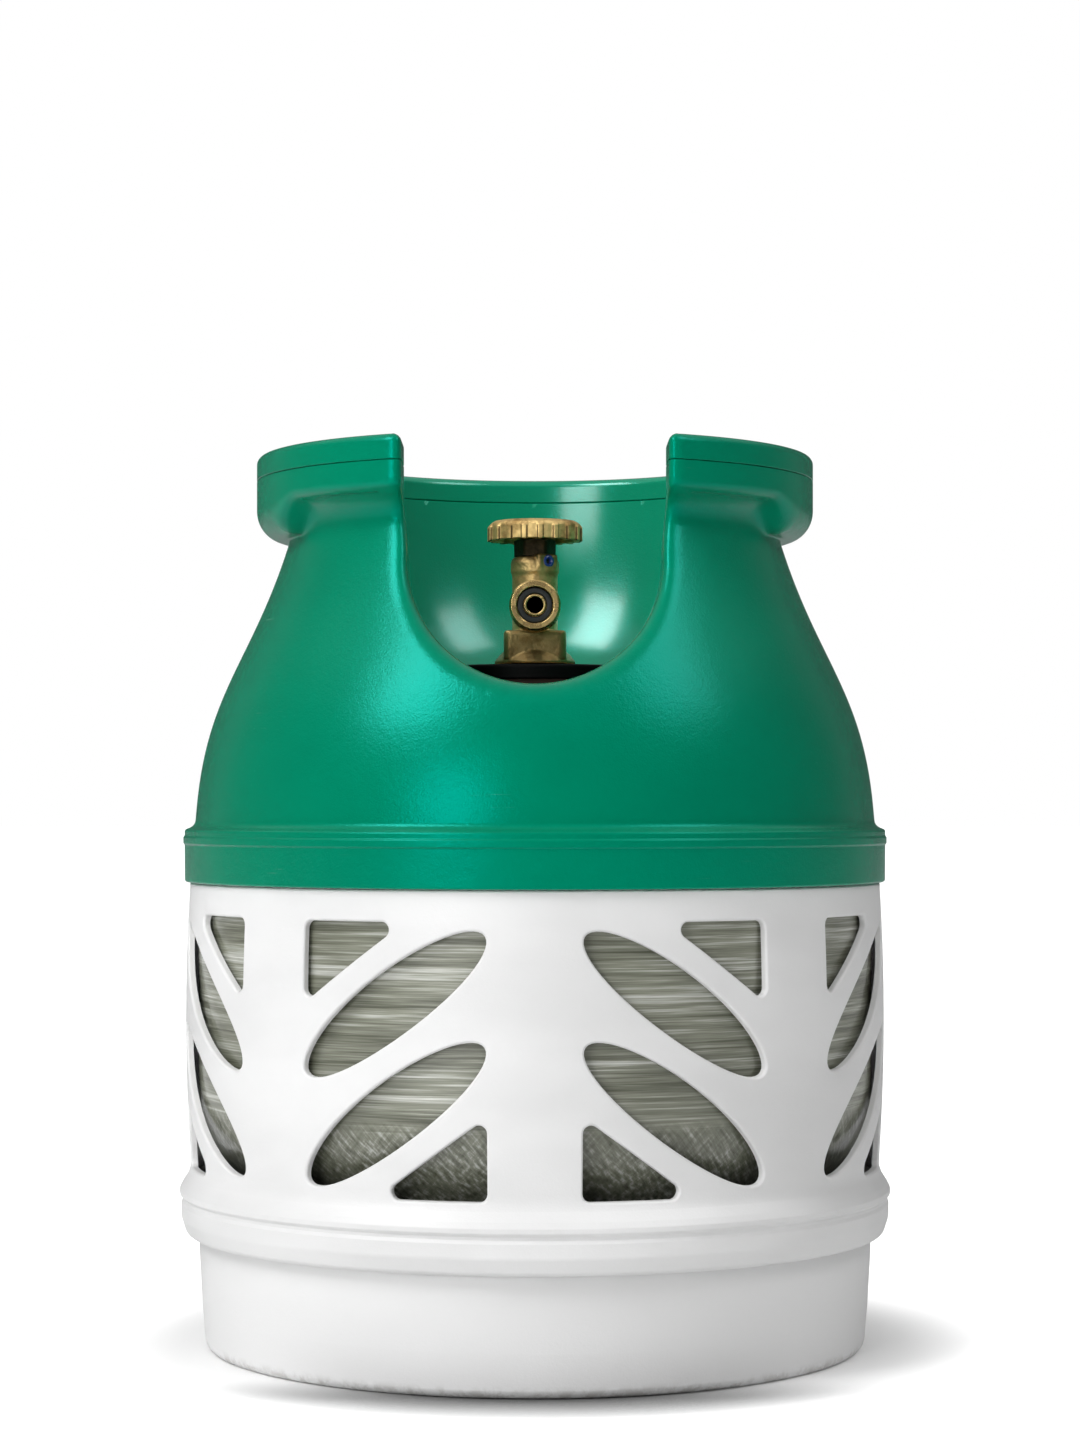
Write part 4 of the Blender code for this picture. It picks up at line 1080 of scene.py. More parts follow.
class CasingShape:
    """The top casing's outer skin, opening edge and well, for the right half."""

    COLUMNS = 128            # round half the casing
    BELL_ROWS = 28
    LIP_ROWS = 24
    ARC_STEPS = 44           # round half the opening's arc
    SIDE_STEPS = 18          # up its straight side
    ROLL_STEPS = 8
    TUNNEL_STEPS = 8

    def __init__(self, settings):
        self.settings = settings
        self.walks = steps_between(0.0, 1.0, self.ARC_STEPS)
        self.walks += steps_between(1.0, 2.0, self.SIDE_STEPS)[1:]
        self.shares = steps_between(0.0, 1.0, self.BELL_ROWS)
        self.shares += steps_between(1.0, 2.0, self.LIP_ROWS)[1:]

    @staticmethod
    @functools.lru_cache(maxsize=None)
    def front_share(height):
        """Share up the front bell and lip at a height."""
        return share_at_height(lambda share: bell_lip(share, True), height, 0.0, 2.0)

    def roll(self, walk):
        """Reach of the opening's outer rounded edge."""
        return mixed(self.settings.roll, self.settings.roll_at_rim, min(max(walk - 1.0, 0.0), 1.0))

    def inner_roll(self, walk):
        """Reach of its inner rounded edge, which fades out towards the sill."""
        return self.settings.inner_roll * smooth(opening_point(walk).y, 0.288, 0.300)

    def front_point(self, x, z):
        """Point of the outer skin in front, straight ahead of (x, z)."""
        radius = bell_lip(self.front_share(z), True).x
        return Vector((x, -math.sqrt(radius ** 2 - x ** 2), z))

    def well_point(self, x, z):
        """Point of the well's wall in front, straight ahead of (x, z)."""
        radius = well_radius(z)
        return Vector((x, -math.sqrt(radius ** 2 - x ** 2), z))

    def sill_point(self, x, z):
        """End of the sill where it nears the vessel's dome or the well's hole."""
        under = (z - 0.001 - CYLINDER_HIGH_Z) / UPPER_DOME
        radius = max(WELL_HOLE_R, VESSEL_R * math.sqrt(1.0 - min(under, 1.0) ** 2))
        return Vector((x, -math.sqrt(radius ** 2 - x ** 2), z))

    def corner_ahead(self, walk, surface, reach):
        """A surface's rounded-edge start at one walk, and the corner ahead of it on the opening."""
        x, z = opening_point(walk)
        side = opening_side(walk) * reach
        start = surface(x + side.x, z + side.y)
        step = 1e-4
        over = surface(start.x + step, start.z) - surface(start.x - step, start.z)
        up = surface(start.x, start.z) - surface(start.x, start.z - step)
        normal = over.cross(up)
        ahead = start.y - (normal.x * (x - start.x) + normal.z * (z - start.z)) / normal.y
        return start, Vector((x, ahead, z))

    def outer_edge(self, walk, share):
        """Point of the outer rounded edge: share 0 on the skin, 1 in the opening."""
        reach = self.roll(walk)
        start, corner = self.corner_ahead(walk, self.front_point, reach)
        return bezier((start, corner, corner - FRONT * reach), share)

    def inner_edge(self, walk, share):
        """Point of the inner rounded edge: share 0 in the opening, 1 on the well's wall."""
        reach = self.inner_roll(walk)
        x, z = opening_point(walk)
        if reach < 1e-5:
            return self.well_point(x, z) if z > WELL_FLOOR_Z else self.sill_point(x, z)
        start, corner = self.corner_ahead(walk, self.well_point, reach)
        return bezier((corner + FRONT * reach, corner, start), share)

    def tunnel(self, walk, share):
        """Point of the opening's straight inner face."""
        return self.outer_edge(walk, 1.0).lerp(self.inner_edge(walk, 0.0), share)

    def add_skin(self, casing):
        """Add the bell and the lip, out to the opening's rounded edge."""
        lengths = [0.0]
        for here, there in zip(self.shares, self.shares[1:]):
            lengths.append(lengths[-1] + (bell_lip(there, True) - bell_lip(here, True)).length)

        def flat(turn, share):
            """Place in the unrolled skin."""
            row = min(sum(1 for level in self.shares if level <= share), len(self.shares) - 1)
            part = (share - self.shares[row - 1]) / (self.shares[row] - self.shares[row - 1])
            return (turn * 0.125, mixed(lengths[row - 1], lengths[row], part))

        turns = steps_between(0.0, math.pi, self.COLUMNS)
        edge = []
        for walk in reversed(self.walks):
            start = self.outer_edge(walk, 0.0)
            share = self.front_share(start.z) if walk < 2.0 else 2.0
            edge.append((math.atan2(start.x, -start.y), share))
        border = [(turn, 0.0) for turn in turns]
        border += [(math.pi, share) for share in self.shares[1:]]
        border += [(turn, 2.0) for turn in reversed(turns[:-1]) if turn > edge[0][0] + 0.008]
        border += edge
        border += [(0.0, share) for share in reversed(self.shares[1:]) if share < edge[-1][1] - 0.012]
        inner = []
        for turn in turns[1:-1]:
            for share in self.shares[1:-1]:
                if self.is_clear(casing_place(turn, share), 0.0016):
                    inner.append((turn, share))
        spots = border + inner
        _, faces = fill_between([flat(*spot) for spot in border], [], [flat(*spot) for spot in inner])
        points = [casing_place(*spot) for spot in spots]
        normals = [measured_normal(casing_place, *spot) for spot in spots]
        casing.patch(points, normals, faces, mirror=True)

    def is_clear(self, point, margin):
        """Whether a point of the outer skin is clear of the opening's rounded edge."""
        if point.y > 0.0:
            return True
        if point.z < OPENING_MID_Z:
            reach = math.hypot(point.x, point.z - OPENING_MID_Z) - OPENING_R
            return reach > self.settings.roll + margin
        walk = 1.0 + (point.z - OPENING_MID_Z) / (SEAM_LOW_Z - OPENING_MID_Z)
        return point.x - opening_half(point.z) > self.roll(walk) + margin

    def add_opening(self, casing):
        """Add the opening's rounded edges and its inner face."""
        shares = steps_between(0.0, 1.0, self.ROLL_STEPS)
        casing.sheet(self.outer_edge, self.walks, shares, mirror=True)
        casing.sheet(self.tunnel, self.walks, steps_between(0.0, 1.0, self.TUNNEL_STEPS), mirror=True)
        rounded = [walk for walk in self.walks if self.inner_roll(walk) >= 1e-5]
        casing.sheet(self.inner_edge, rounded, shares, mirror=True)

    def add_well(self, casing):
        """Add the well's wall, from the opening round to the back."""
        under = 0.0040
        rows = [walk for walk in self.walks if opening_point(walk).y > WELL_FLOOR_Z - under]

        def wall(walk, share):
            start = self.inner_edge(walk, 1.0)
            turn = mixed(math.atan2(start.x, -start.y), math.pi, share)
            return around(well_radius(start.z), turn, start.z)
        casing.sheet(wall, rows, steps_between(0.0, 1.0, self.COLUMNS), mirror=True)

    def rim_loop(self):
        """Half of the rim's plan: (point, outward) pairs from the back round the ear into the well."""
        seam = 2.0
        start = self.outer_edge(seam, 0.0)
        end = self.inner_edge(seam, 1.0)
        first = math.atan2(start.x, -start.y)
        last = math.atan2(end.x, -end.y)
        well_r = end.xy.length
        stretches = [(lambda share: around(RIM_R, mixed(math.pi, first, share), 0.0), self.COLUMNS - 20),
                     (lambda share: self.outer_edge(seam, share), self.ROLL_STEPS),
                     (lambda share: self.tunnel(seam, share), self.TUNNEL_STEPS),
                     (lambda share: self.inner_edge(seam, share), self.ROLL_STEPS),
                     (lambda share: around(well_r, mixed(last, math.pi, share), 0.0), self.COLUMNS - 20)]
        pairs = []
        for place, count in stretches:
            for share in steps_between(0.0, 1.0, count)[1 if pairs else 0:]:
                ahead = place(share + 1e-3) - place(share - 1e-3)
                outward = Vector((-ahead.y, ahead.x, 0.0)).normalized()
                point = place(share)
                pairs.append((Vector((point.x, point.y, 0.0)), outward))
        return pairs


def add_rim_rows(skin, loop, rows):
    """Add bands round the rim: rows are (inset, height, lean) with lean the normal's angle upwards."""
    points = []
    normals = []
    for inset, height, lean in rows:
        points.append([point - outward * inset + UP * height for point, outward in loop])
        normals.append([outward * math.cos(lean) + UP * math.sin(lean) for _, outward in loop])
    skin.grid(points, normals, mirror=True)


class TANK_OT_top_casing(bpy.types.Operator):
    """Add the green bell with its band, finger lip, valve opening and well"""
    bl_idname = "tank.top_casing"
    bl_label = "Top Casing"

    def execute(self, context):
        settings = context.scene.tank_casing
        shape = CasingShape(settings)
        casing = Skin()
        shape.add_skin(casing)
        shape.add_opening(casing)
        shape.add_well(casing)
        bevel = settings.seam_bevel
        seam_z = SEAM_LOW_Z - bevel
        slant = math.radians(45)
        loop = shape.rim_loop()
        add_rim_rows(casing, loop, [(0.0, seam_z, slant), (bevel, SEAM_LOW_Z, slant)])
        add_rim_rows(casing, loop, [(bevel, SEAM_LOW_Z, math.pi / 2), (0.003, SEAM_LOW_Z, math.pi / 2)])
        casing.turn(outline(self.band_corners()), 2 * shape.COLUMNS)
        plastic = green_plastic("green_plastic", settings)
        add_piece("green_bell", casing, plastic, "tank", "top_casing")
        return {"FINISHED"}

    def band_corners(self):
        """Outline of the band and its bead, up to the bell."""
        inner_r = 0.1474
        band_r = 0.1504
        bead_r = band_r + 0.0006
        shoulder_r, shoulder_z = BELL[0]
        return [(inner_r, 0.2060, 0), (inner_r, BAND_LOW_Z, 0.0005),
                (band_r - 0.0001, BAND_LOW_Z, 0.0010), (band_r, 0.2142, 0.0004),
                (bead_r, 0.2149, 0.0006), (bead_r, 0.2174, 0.0006),
                (band_r, 0.2182, 0.0004), (band_r, 0.2206, 0.0013),
                (shoulder_r + 0.0006, 0.2224, 0.0034), (shoulder_r, shoulder_z, 0)]


class TANK_OT_grip_cap(bpy.types.Operator):
    """Add the green cap that closes the grip ring"""
    bl_idname = "tank.grip_cap"
    bl_label = "Grip Cap"

    def execute(self, context):
        settings = context.scene.tank_casing
        loop = CasingShape(settings).rim_loop()
        cap = Skin()
        bevel = settings.seam_bevel
        rounding = settings.cap_rounding
        slant = math.radians(-45)
        down = math.radians(-90)
        add_rim_rows(cap, loop, [(0.003, SEAM_HIGH_Z, down), (bevel, SEAM_HIGH_Z, down)])
        add_rim_rows(cap, loop, [(bevel, SEAM_HIGH_Z, slant), (0.0, SEAM_HIGH_Z + bevel, slant)])
        rows = [(0.0, SEAM_HIGH_Z + bevel, 0.0)]
        for angle in steps_between(0.0, math.pi / 2, 8):
            inset, drop = 1.0 - math.cos(angle), 1.0 - math.sin(angle)
            rows.append((rounding * inset, TOP_Z - rounding * drop, angle))
        add_rim_rows(cap, loop, rows)
        edge = [point - outward * rounding + UP * TOP_Z for point, outward in loop]
        half = len(edge) // 2
        cap.grid([edge[:half + 1], edge[:half - 1:-1]], [[UP] * (half + 1)] * 2, mirror=True)
        plastic = green_plastic("green_plastic_cap", settings)
        add_piece("green_cap", cap, plastic, "tank", "grip_cap")
        return {"FINISHED"}


# ================================================================ valve
def laid_forward(height):
    """Matrix that lays a piece turned on the Z axis along the outlet, towards the front."""
    return Matrix.Translation((0.0, 0.0, height)) @ Matrix.Rotation(math.radians(90), 4, "X")


def lock_screw_lay():
    """Matrix that lays a piece turned on the Z axis along the lock screw."""
    tilt = Matrix.Rotation(math.radians(90), 4, "X")
    return Matrix.Translation((0.0, 0.0, LOCK_SCREW_Z)) @ Matrix.Rotation(LOCK_SCREW_TURN, 4, "Z") @ tilt


def add_block(skin, half_x, half_y, rounding, levels, lay=None):
    """Add a block with round upright edges; levels are (inset, height) pairs from bottom to top."""
    corners = [(half_x, -half_y, rounding), (half_x, half_y, rounding), (-half_x, half_y, rounding),
               (-half_x, -half_y, rounding)]
    pairs = outline(corners, closed=True)
    lay = lay or Matrix.Identity(4)
    rows = []
    normals = []
    for inset, height in levels:
        rows.append([lay @ (point - normal * inset).to_3d() + lay.to_3x3() @ UP * height
                     for point, normal in pairs])
        normals.append([lay.to_3x3() @ normal.to_3d() for _, normal in pairs])
    skin.grid(rows, normals, closed=True)
    for row, facing in ((rows[0], -UP), (rows[-1], UP)):
        skin.patch(row, [lay.to_3x3() @ facing] * len(row), [tuple(range(len(row)))])


def join_forging(name, skin, cell, smoothing, pierced):
    """Melt overlapping solids into one smooth casting, then cut a pierced skin out of it."""
    scene = bpy.context.scene
    raw = bpy.data.objects.new(name + "_raw", skin.mesh(name + "_raw"))
    tool = bpy.data.objects.new(name + "_tool", pierced.mesh(name + "_tool"))
    for item in (raw, tool):
        scene.collection.objects.link(item)
    melt = raw.modifiers.new("Melt", "REMESH")
    melt.mode = "VOXEL"
    melt.voxel_size = cell
    polish = raw.modifiers.new("Polish", "SMOOTH")
    polish.factor = 0.5
    polish.iterations = smoothing
    cut = raw.modifiers.new("Cut", "BOOLEAN")
    cut.object = tool
    bpy.context.view_layer.update()
    mesh = bpy.data.meshes.new_from_object(raw.evaluated_get(bpy.context.evaluated_depsgraph_get()))
    for item in (raw, tool):
        bpy.data.objects.remove(item, do_unlink=True)
    mesh.shade_smooth()
    mesh.set_sharp_from_angle(angle=math.radians(38))
    return mesh


class TANK_OT_valve_body(bpy.types.Operator):
    """Add the forged brass body with its threaded outlet, nozzle and seal"""
    bl_idname = "tank.valve_body"
    bl_label = "Valve Body"

    def execute(self, context):
        settings = context.scene.tank_valve
        # Painted shade: the body's brass is painted darker than the wheel's.
        dimmed = tuple(0.78 * channel for channel in settings.brass)
        brass = forged_brass("forged_brass", dimmed, settings.tarnish)
        height = brass.part("Z")
        # Painted shade: the brass is painted darker from the wrench block down, under the outlet, and at
        # the column's top, under the wheel.
        dirt_and_painted_shade = 1.0 - brass.between(height, 0.298, 0.309) + brass.between(height, 0.3320, 0.3372)
        brass.set(base_color=brass.blend(dirt_and_painted_shade * 0.55, brass.colour, (0.10, 0.060, 0.020)))
        mesh = join_forging("valve_casting", self.solids(), settings.blend_grain, 4, self.holes())
        add_piece("valve_casting", mesh, brass, "tank", "valve_body")

        machined = turned_metal("machined_brass", settings.brass, 0.24, OUTLET_Z)
        self.paint_bore_shade(machined)
        end = Skin()
        self.add_threaded_end(end, settings.thread_pitch)
        add_piece("threaded_outlet", end, machined, "tank", "valve_body")
        depth = -OUTLET_FACE_Y
        lay = laid_forward(OUTLET_Z)
        nozzle = Skin()
        bore_r, tube_r = 0.0035, 0.0046
        root, tip = 0.0080, depth - 0.0002
        corners = [(bore_r, root, 0), (tube_r, root, 0), (tube_r, tip, 0.0004), (bore_r, tip, 0.0005)]
        nozzle.turn(outline(corners, closed=True), 64, lay, closed=True)
        add_piece("nozzle", nozzle, machined, "tank", "outlet_nozzle")
        seal = Skin()
        low, high = depth - 0.0033, depth - 0.0009
        inner_r, outer_r = 0.0049, 0.0075
        corners = [(inner_r, low, 0.0003), (outer_r, low, 0.0003), (outer_r, high, 0.0007),
                   (0.0062, high + 0.0001, None), (inner_r, high, 0.0007)]
        seal.turn(outline(corners, closed=True), 96, lay, closed=True)
        rubber = soft_rubber("seal_rubber", (0.012, 0.012, 0.013), 0.50)
        add_piece("outlet_gasket", seal, rubber, "tank", "outlet_seal")
        return {"FINISHED"}

    def paint_bore_shade(self, paint):
        """Paint shade down the nozzle's bore: the metal darkens deeper in."""
        within = 1.0 - paint.between(paint.from_axis("X", "Z", OUTLET_Z), 0.0035, 0.0037)
        bore_shade = within * paint.between(paint.part("Y"), OUTLET_FACE_Y + 0.0004, OUTLET_FACE_Y + 0.0030)
        paint.set(base_color=paint.blend(bore_shade, paint.colour, (0.020, 0.004, 0.002)))

    def solids(self):
        """Overlapping solids of the forging."""
        body = Skin()
        stem_r, skirt_r, skirt_z = 0.0130, 0.0175, 0.2917
        corners = [(0.0, BODY_LOW_Z, 0), (stem_r, BODY_LOW_Z, 0.001), (stem_r, skirt_z, 0.0004),
                   (skirt_r, skirt_z, 0.0005), (skirt_r, 0.2928, 0.0005), (0.0150, 0.2960, 0.004),
                   (0.0110, 0.2990, 0.002), (COLUMN_R, 0.3010, 0.001), (COLUMN_R, 0.3300, 0.002),
                   (0.0104, 0.3315, 0.0008), (0.0104, 0.3358, 0.0010), (0.0093, 0.3380, 0.0006),
                   (0.0, BODY_TOP_Z, 0)]
        body.turn(outline(corners), 96)
        add_block(body, BLOCK_HALF, BLOCK_HALF, 0.0030,
                  [(0.0, 0.2940), (0.0, 0.3050), (0.0006, 0.3058), (0.0018, 0.3060)])
        neck = [(0.0, 0.0, 0), (0.0086, 0.0, 0), (0.0086, 0.0130, 0.002), (0.0094, 0.0165, 0.001),
                (0.0094, 0.0182, 0.0004), (0.0, 0.0182, 0)]
        body.turn(outline(neck), 96, laid_forward(OUTLET_Z))
        relief = [(0.0, 0.2955, 0), (RELIEF_R, 0.2955, 0), (RELIEF_R, 0.3197, 0.0006), (0.0, 0.3197, 0)]
        body.turn(outline(relief), 96, Matrix.Translation((0.0, RELIEF_Y, 0.0)))
        web = Matrix.Translation((0.0, 0.0115, 0.0))
        add_block(body, 0.0045, 0.0050, 0.0010, [(0.0, 0.3000), (0.0, 0.3165), (0.0015, 0.3185)], web)
        pad = [(0.0, 0.0), (0.0, 0.0094), (0.0008, 0.0101)]
        add_block(body, 0.0052, 0.0033, 0.0012, pad, lock_screw_lay())
        return body

    def holes(self):
        """Holes that the lock screw and the nozzle sit in."""
        hole = Skin()
        corners = [(0.0, 0.0085, 0), (0.0021, 0.0085, 0), (0.0021, 0.0125, 0), (0.0, 0.0125, 0)]
        hole.turn(outline(corners), 32, lock_screw_lay())
        corners = [(0.0, 0.0112, 0), (0.0050, 0.0166, 0), (0.0050, 0.0190, 0), (0.0, 0.0190, 0)]
        hole.turn(outline(corners), 48, laid_forward(OUTLET_Z))
        return hole

    def add_threaded_end(self, end, pitch):
        """Add the machined outlet: shoulder, left-hand thread, chamfered face and recess."""
        depth = -OUTLET_FACE_Y
        crest = 0.0109
        root = 0.0101
        start, stop = 0.0188, depth - 0.0022
        lay = laid_forward(OUTLET_Z)
        shoulder = 0.0176
        corners = [(0.0085, shoulder, 0), (crest, shoulder, 0.0004), (crest, shoulder + 0.0010, 0.0003),
                   (root, start, 0)]
        end.turn(outline(corners), 96, lay)

        def thread(row, column):
            """Point of the thread at a depth and a turn."""
            turn = 2.0 * math.pi * column
            wave = abs(math.remainder(row / pitch + column, 1.0)) * 2.0
            height = smooth(wave, 0.15, 0.85)
            ends = smooth(row, start, start + pitch) * (1.0 - smooth(row, stop - pitch / 2, stop))
            return lay @ around(mixed(root, crest, height * ends), turn, row)
        rows = steps_between(start, stop, 84)
        columns = [step / 120 for step in range(120)]

        end.sheet(thread, rows, columns, closed=True, facing=-1.0)
        face_r, recess_r, bore_r = 0.0107, 0.0078, 0.0047
        recess = depth - 0.0036
        corners = [(root, stop, 0), (face_r, stop + 0.0003, 0.0003), (face_r, depth - 0.0007, 0.0004),
                   (0.0100, depth, 0.0003), (recess_r, depth, 0.0004), (recess_r, recess, 0.0002),
                   (bore_r, recess, 0), (bore_r, 0.0170, 0), (0.0, 0.0118, 0)]
        end.turn(outline(corners), 96, lay)


def six_sided(across_flats, edge_r, bore_r, low_z, high_z, sides=96):
    """Skin of a hexagonal nut with chamfered corners and a round bore."""
    half = across_flats / 2
    slope = 0.55
    skin = Skin()

    def reach(turn):
        """Distance from the axis to the hexagon at a turn."""
        return min(half / math.cos(math.remainder(turn, math.pi / 3)), edge_r)

    def row(place):
        """One closed row of points round the nut."""
        return [around(*place(2.0 * math.pi * side / sides)) for side in range(sides)]

    def chamfer(turn):
        """Drop of the top edge at a corner of the hexagon."""
        return slope * (reach(turn) - half)

    rows = [row(lambda turn: (bore_r, turn, low_z)), row(lambda turn: (reach(turn), turn, low_z)),
            row(lambda turn: (reach(turn), turn, high_z - chamfer(turn))),
            row(lambda turn: (half - 0.0003, turn, high_z)), row(lambda turn: (bore_r, turn, high_z)),
            row(lambda turn: (bore_r, turn, low_z))]
    for index, (here, there) in enumerate(zip(rows, rows[1:])):
        for side in range(sides):
            after = (side + 1) % sides
            corners = [here[side], here[after], there[after], there[side]]
            middle = sum(corners, Vector((0.0, 0.0, 0.0))) / 4
            normal = geometry.normal(corners)
            outward = (-UP, middle, middle + UP, UP, -middle)[index].copy()
            if index in (1, 4):
                outward.z = 0.0
            if normal.dot(outward) < 0.0:
                normal = -normal
            skin.patch(corners, [normal] * 4, [(0, 1, 2, 3)])
    return skin


class TANK_OT_hand_wheel(bpy.types.Operator):
    """Add the ribbed hand wheel with its washer, nut and spindle"""
    bl_idname = "tank.hand_wheel"
    bl_label = "Hand Wheel"

    def execute(self, context):
        settings = context.scene.tank_valve
        brass = self.wheel_brass(settings)
        wheel = Skin()
        self.add_wheel(wheel, settings)
        mesh = wheel.mesh("ribbed_wheel")
        mesh.set_sharp_from_angle(angle=math.radians(45))
        add_piece("ribbed_wheel", mesh, brass, "wheel", "hand_wheel")

        low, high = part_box("wheel_washer")
        washer = Skin()
        bore_r, washer_r = 0.0040, 0.0068
        corners = [(bore_r, low.z, 0), (washer_r, low.z, 0.0001), (washer_r, high.z, 0.00015),
                   (bore_r, high.z, 0.0001)]
        washer.turn(outline(corners, closed=True), 64, closed=True)
        steel = turned_metal("zinc_steel", (0.52, 0.52, 0.50), 0.28)
        add_piece("plain_washer", washer, steel, "wheel", "wheel_washer")

        low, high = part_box("wheel_nut")
        machined = turned_metal("nut_brass", settings.brass, 0.26)
        nut = six_sided(0.0110, 0.00615, bore_r, low.z, high.z)
        add_piece("hexagon_nut", nut, machined, "wheel", "wheel_nut")

        low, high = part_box("spindle")
        flange_low, flange_high = 0.3262, 0.3280
        shaft = Skin()
        flange_r, shaft_r = 0.0060, 0.0037
        corners = [(0.0, flange_low, 0), (flange_r, flange_low, 0.0002), (flange_r, flange_high, 0.0002),
                   (shaft_r, flange_high, 0.0001), (shaft_r, high.z, 0.0006), (0.0, high.z, 0)]
        shaft.turn(outline(corners), 64)
        add_block(shaft, 0.0052, 0.0011, 0.0001, [(0.0, low.z), (0.0, flange_low + 0.0006)])
        add_piece("drive_spindle", shaft, machined, "wheel", "spindle")
        return {"FINISHED"}

    def wheel_brass(self, settings):
        """Rough brass with dirt and painted shade along the foot of each rib."""
        paint = forged_brass("wheel_brass", settings.brass, settings.tarnish, 0.50, 0.00010)
        radius = paint.from_axis("X", "Y")
        # Dirt and painted shade in the creases at the foot of each rib, left off the rounded top.
        valley_r = WHEEL_R - settings.rib_height
        dirt_and_painted_shade = paint.between(radius, valley_r, valley_r + 0.00012)
        dirt_and_painted_shade = dirt_and_painted_shade * (1.0 - paint.between(radius, WHEEL_R - 0.00022, WHEEL_R - 0.00006))
        rounded = paint.between(paint.part("Z"), WHEEL_TOP_Z - 0.0034, WHEEL_TOP_Z - 0.0026)
        dirt_and_painted_shade = dirt_and_painted_shade * (1.0 - rounded)
        paint.set(base_color=paint.blend(dirt_and_painted_shade * 0.95, paint.colour, (0.07, 0.045, 0.015)))
        return paint

    def add_wheel(self, wheel, settings):
        """Add the ribbed rim, the rounded top with its recess, and the web and hub below."""
        ribs = settings.wheel_ribs
        rib = settings.rib_height
        flat_r = WHEEL_R - rib
        inner_r = WHEEL_R - 0.0035
        top = WHEEL_TOP_Z
        low = WHEEL_LOW_Z
        hub_z = low + 0.0012
        web_low_z, web_high_z = 0.3487, 0.3503
        hub_r = 0.0075
        recess_r = 0.0085
        bore_r = 0.0040
        per_rib = 20
        first = math.radians(6.5)

        def swell(turn):
            """1 on a rib, 0 between ribs."""
            pitch = 2.0 * math.pi / ribs
            along = abs(math.remainder(turn - first, pitch)) * WHEEL_R
            return 1.0 - smooth(along, 0.0010, 0.0015)

        def rim_corners(turn):
            """Section of the wheel at a turn, from the hub's foot round to the bore."""
            reach = mixed(flat_r, WHEEL_R, swell(turn))
            foot = mixed(low + 0.0003, low, swell(turn))
            shoulder = mixed(top - 0.0024, top - 0.0027, swell(turn))
            return [(bore_r, hub_z, 0.0002), (hub_r, hub_z, 0.0004), (hub_r, web_low_z, 0.0008),
                    (inner_r, web_low_z, 0.0015), (inner_r, foot, 0.0004), (reach, foot, 0.0004),
                    (reach, shoulder, 0.0006), (flat_r - 0.0003, top - 0.0012, 0.0016),
                    (flat_r - 0.0022, top, 0.0018), (recess_r, top, 0.0006),
                    (recess_r, web_high_z, 0.0005), (bore_r, web_high_z, 0.0002)]
        sides = ribs * per_rib
        turns = [2.0 * math.pi * side / sides for side in range(sides)]
        sections = [outline(rim_corners(turn), closed=True, steps=4) for turn in turns]
        count = len(sections[0])
        rows = []
        normals = []
        for spot in list(range(count)) + [0]:
            row = [around(section[spot][0].x, turn, section[spot][0].y)
                   for turn, section in zip(turns, sections)]
            row_normals = []
            for side, (turn, section) in enumerate(zip(turns, sections)):
                normal = section[spot][1]
                facing = around(normal.x, turn, normal.y)
                along = row[(side + 1) % sides] - row[side - 1]
                facing -= along * (facing.dot(along) / along.length_squared)
                row_normals.append(facing.normalized())
            rows.append(row)
            normals.append(row_normals)
        wheel.grid(rows, normals, closed=True)


class TANK_OT_gland(bpy.types.Operator):
    """Add the gland nut and its lacquered lock screw"""
    bl_idname = "tank.gland"
    bl_label = "Gland"

    def execute(self, context):
        settings = context.scene.tank_valve
        low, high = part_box("gland_nut")
        head_low = BODY_TOP_Z + 0.0003
        bore_r, thread_r = 0.0043, 0.0067
        # Painted shade: the gland nut's brass is painted near black, as it sits in shade under the
        # wheel.
        dark = forged_brass("dark_brass", (0.055, 0.038, 0.018), (0.015, 0.012, 0.008), 0.50)
        gland = six_sided(0.0162, 0.0090, bore_r, head_low, high.z)
        corners = [(bore_r, low.z, 0), (thread_r, low.z, 0.0004), (thread_r, head_low, 0)]
        gland.turn(outline(corners), 64)
        add_piece("packing_nut", gland, dark, "tank", "gland_nut")

        lay = lock_screw_lay()
        screw = Skin()
        tip, head, socket = 0.0073, 0.0092, 0.0086
        screw_r, socket_r = 0.0018, 0.0008
        corners = [(0.0, tip, 0), (screw_r, tip, 0.0002), (screw_r, head, 0.0003),
                   (socket_r, head, 0.0001), (socket_r, socket, 0), (0.0, socket, 0)]
        screw.turn(outline(corners), 48, lay)
        steel = turned_metal("blackened_steel", (0.10, 0.10, 0.10), 0.35)
        add_piece("grub_screw", screw, steel, "tank", "bonnet_lock_screw")
        dab = Skin()
        corners = [(0.0028, 0.0100, 0), (0.0026, 0.0103, 0.0003), (0.0017, 0.0106, 0.0004),
                   (0.0011, 0.0099, 0.0003), (0.0009, 0.0093, 0)]
        dab.turn(outline(corners), 48, lay)
        lacquer = sealing_lacquer(settings.lacquer)
        add_piece("lacquer_dab", dab, lacquer, "tank", "lock_screw_lacquer")
        return {"FINISHED"}


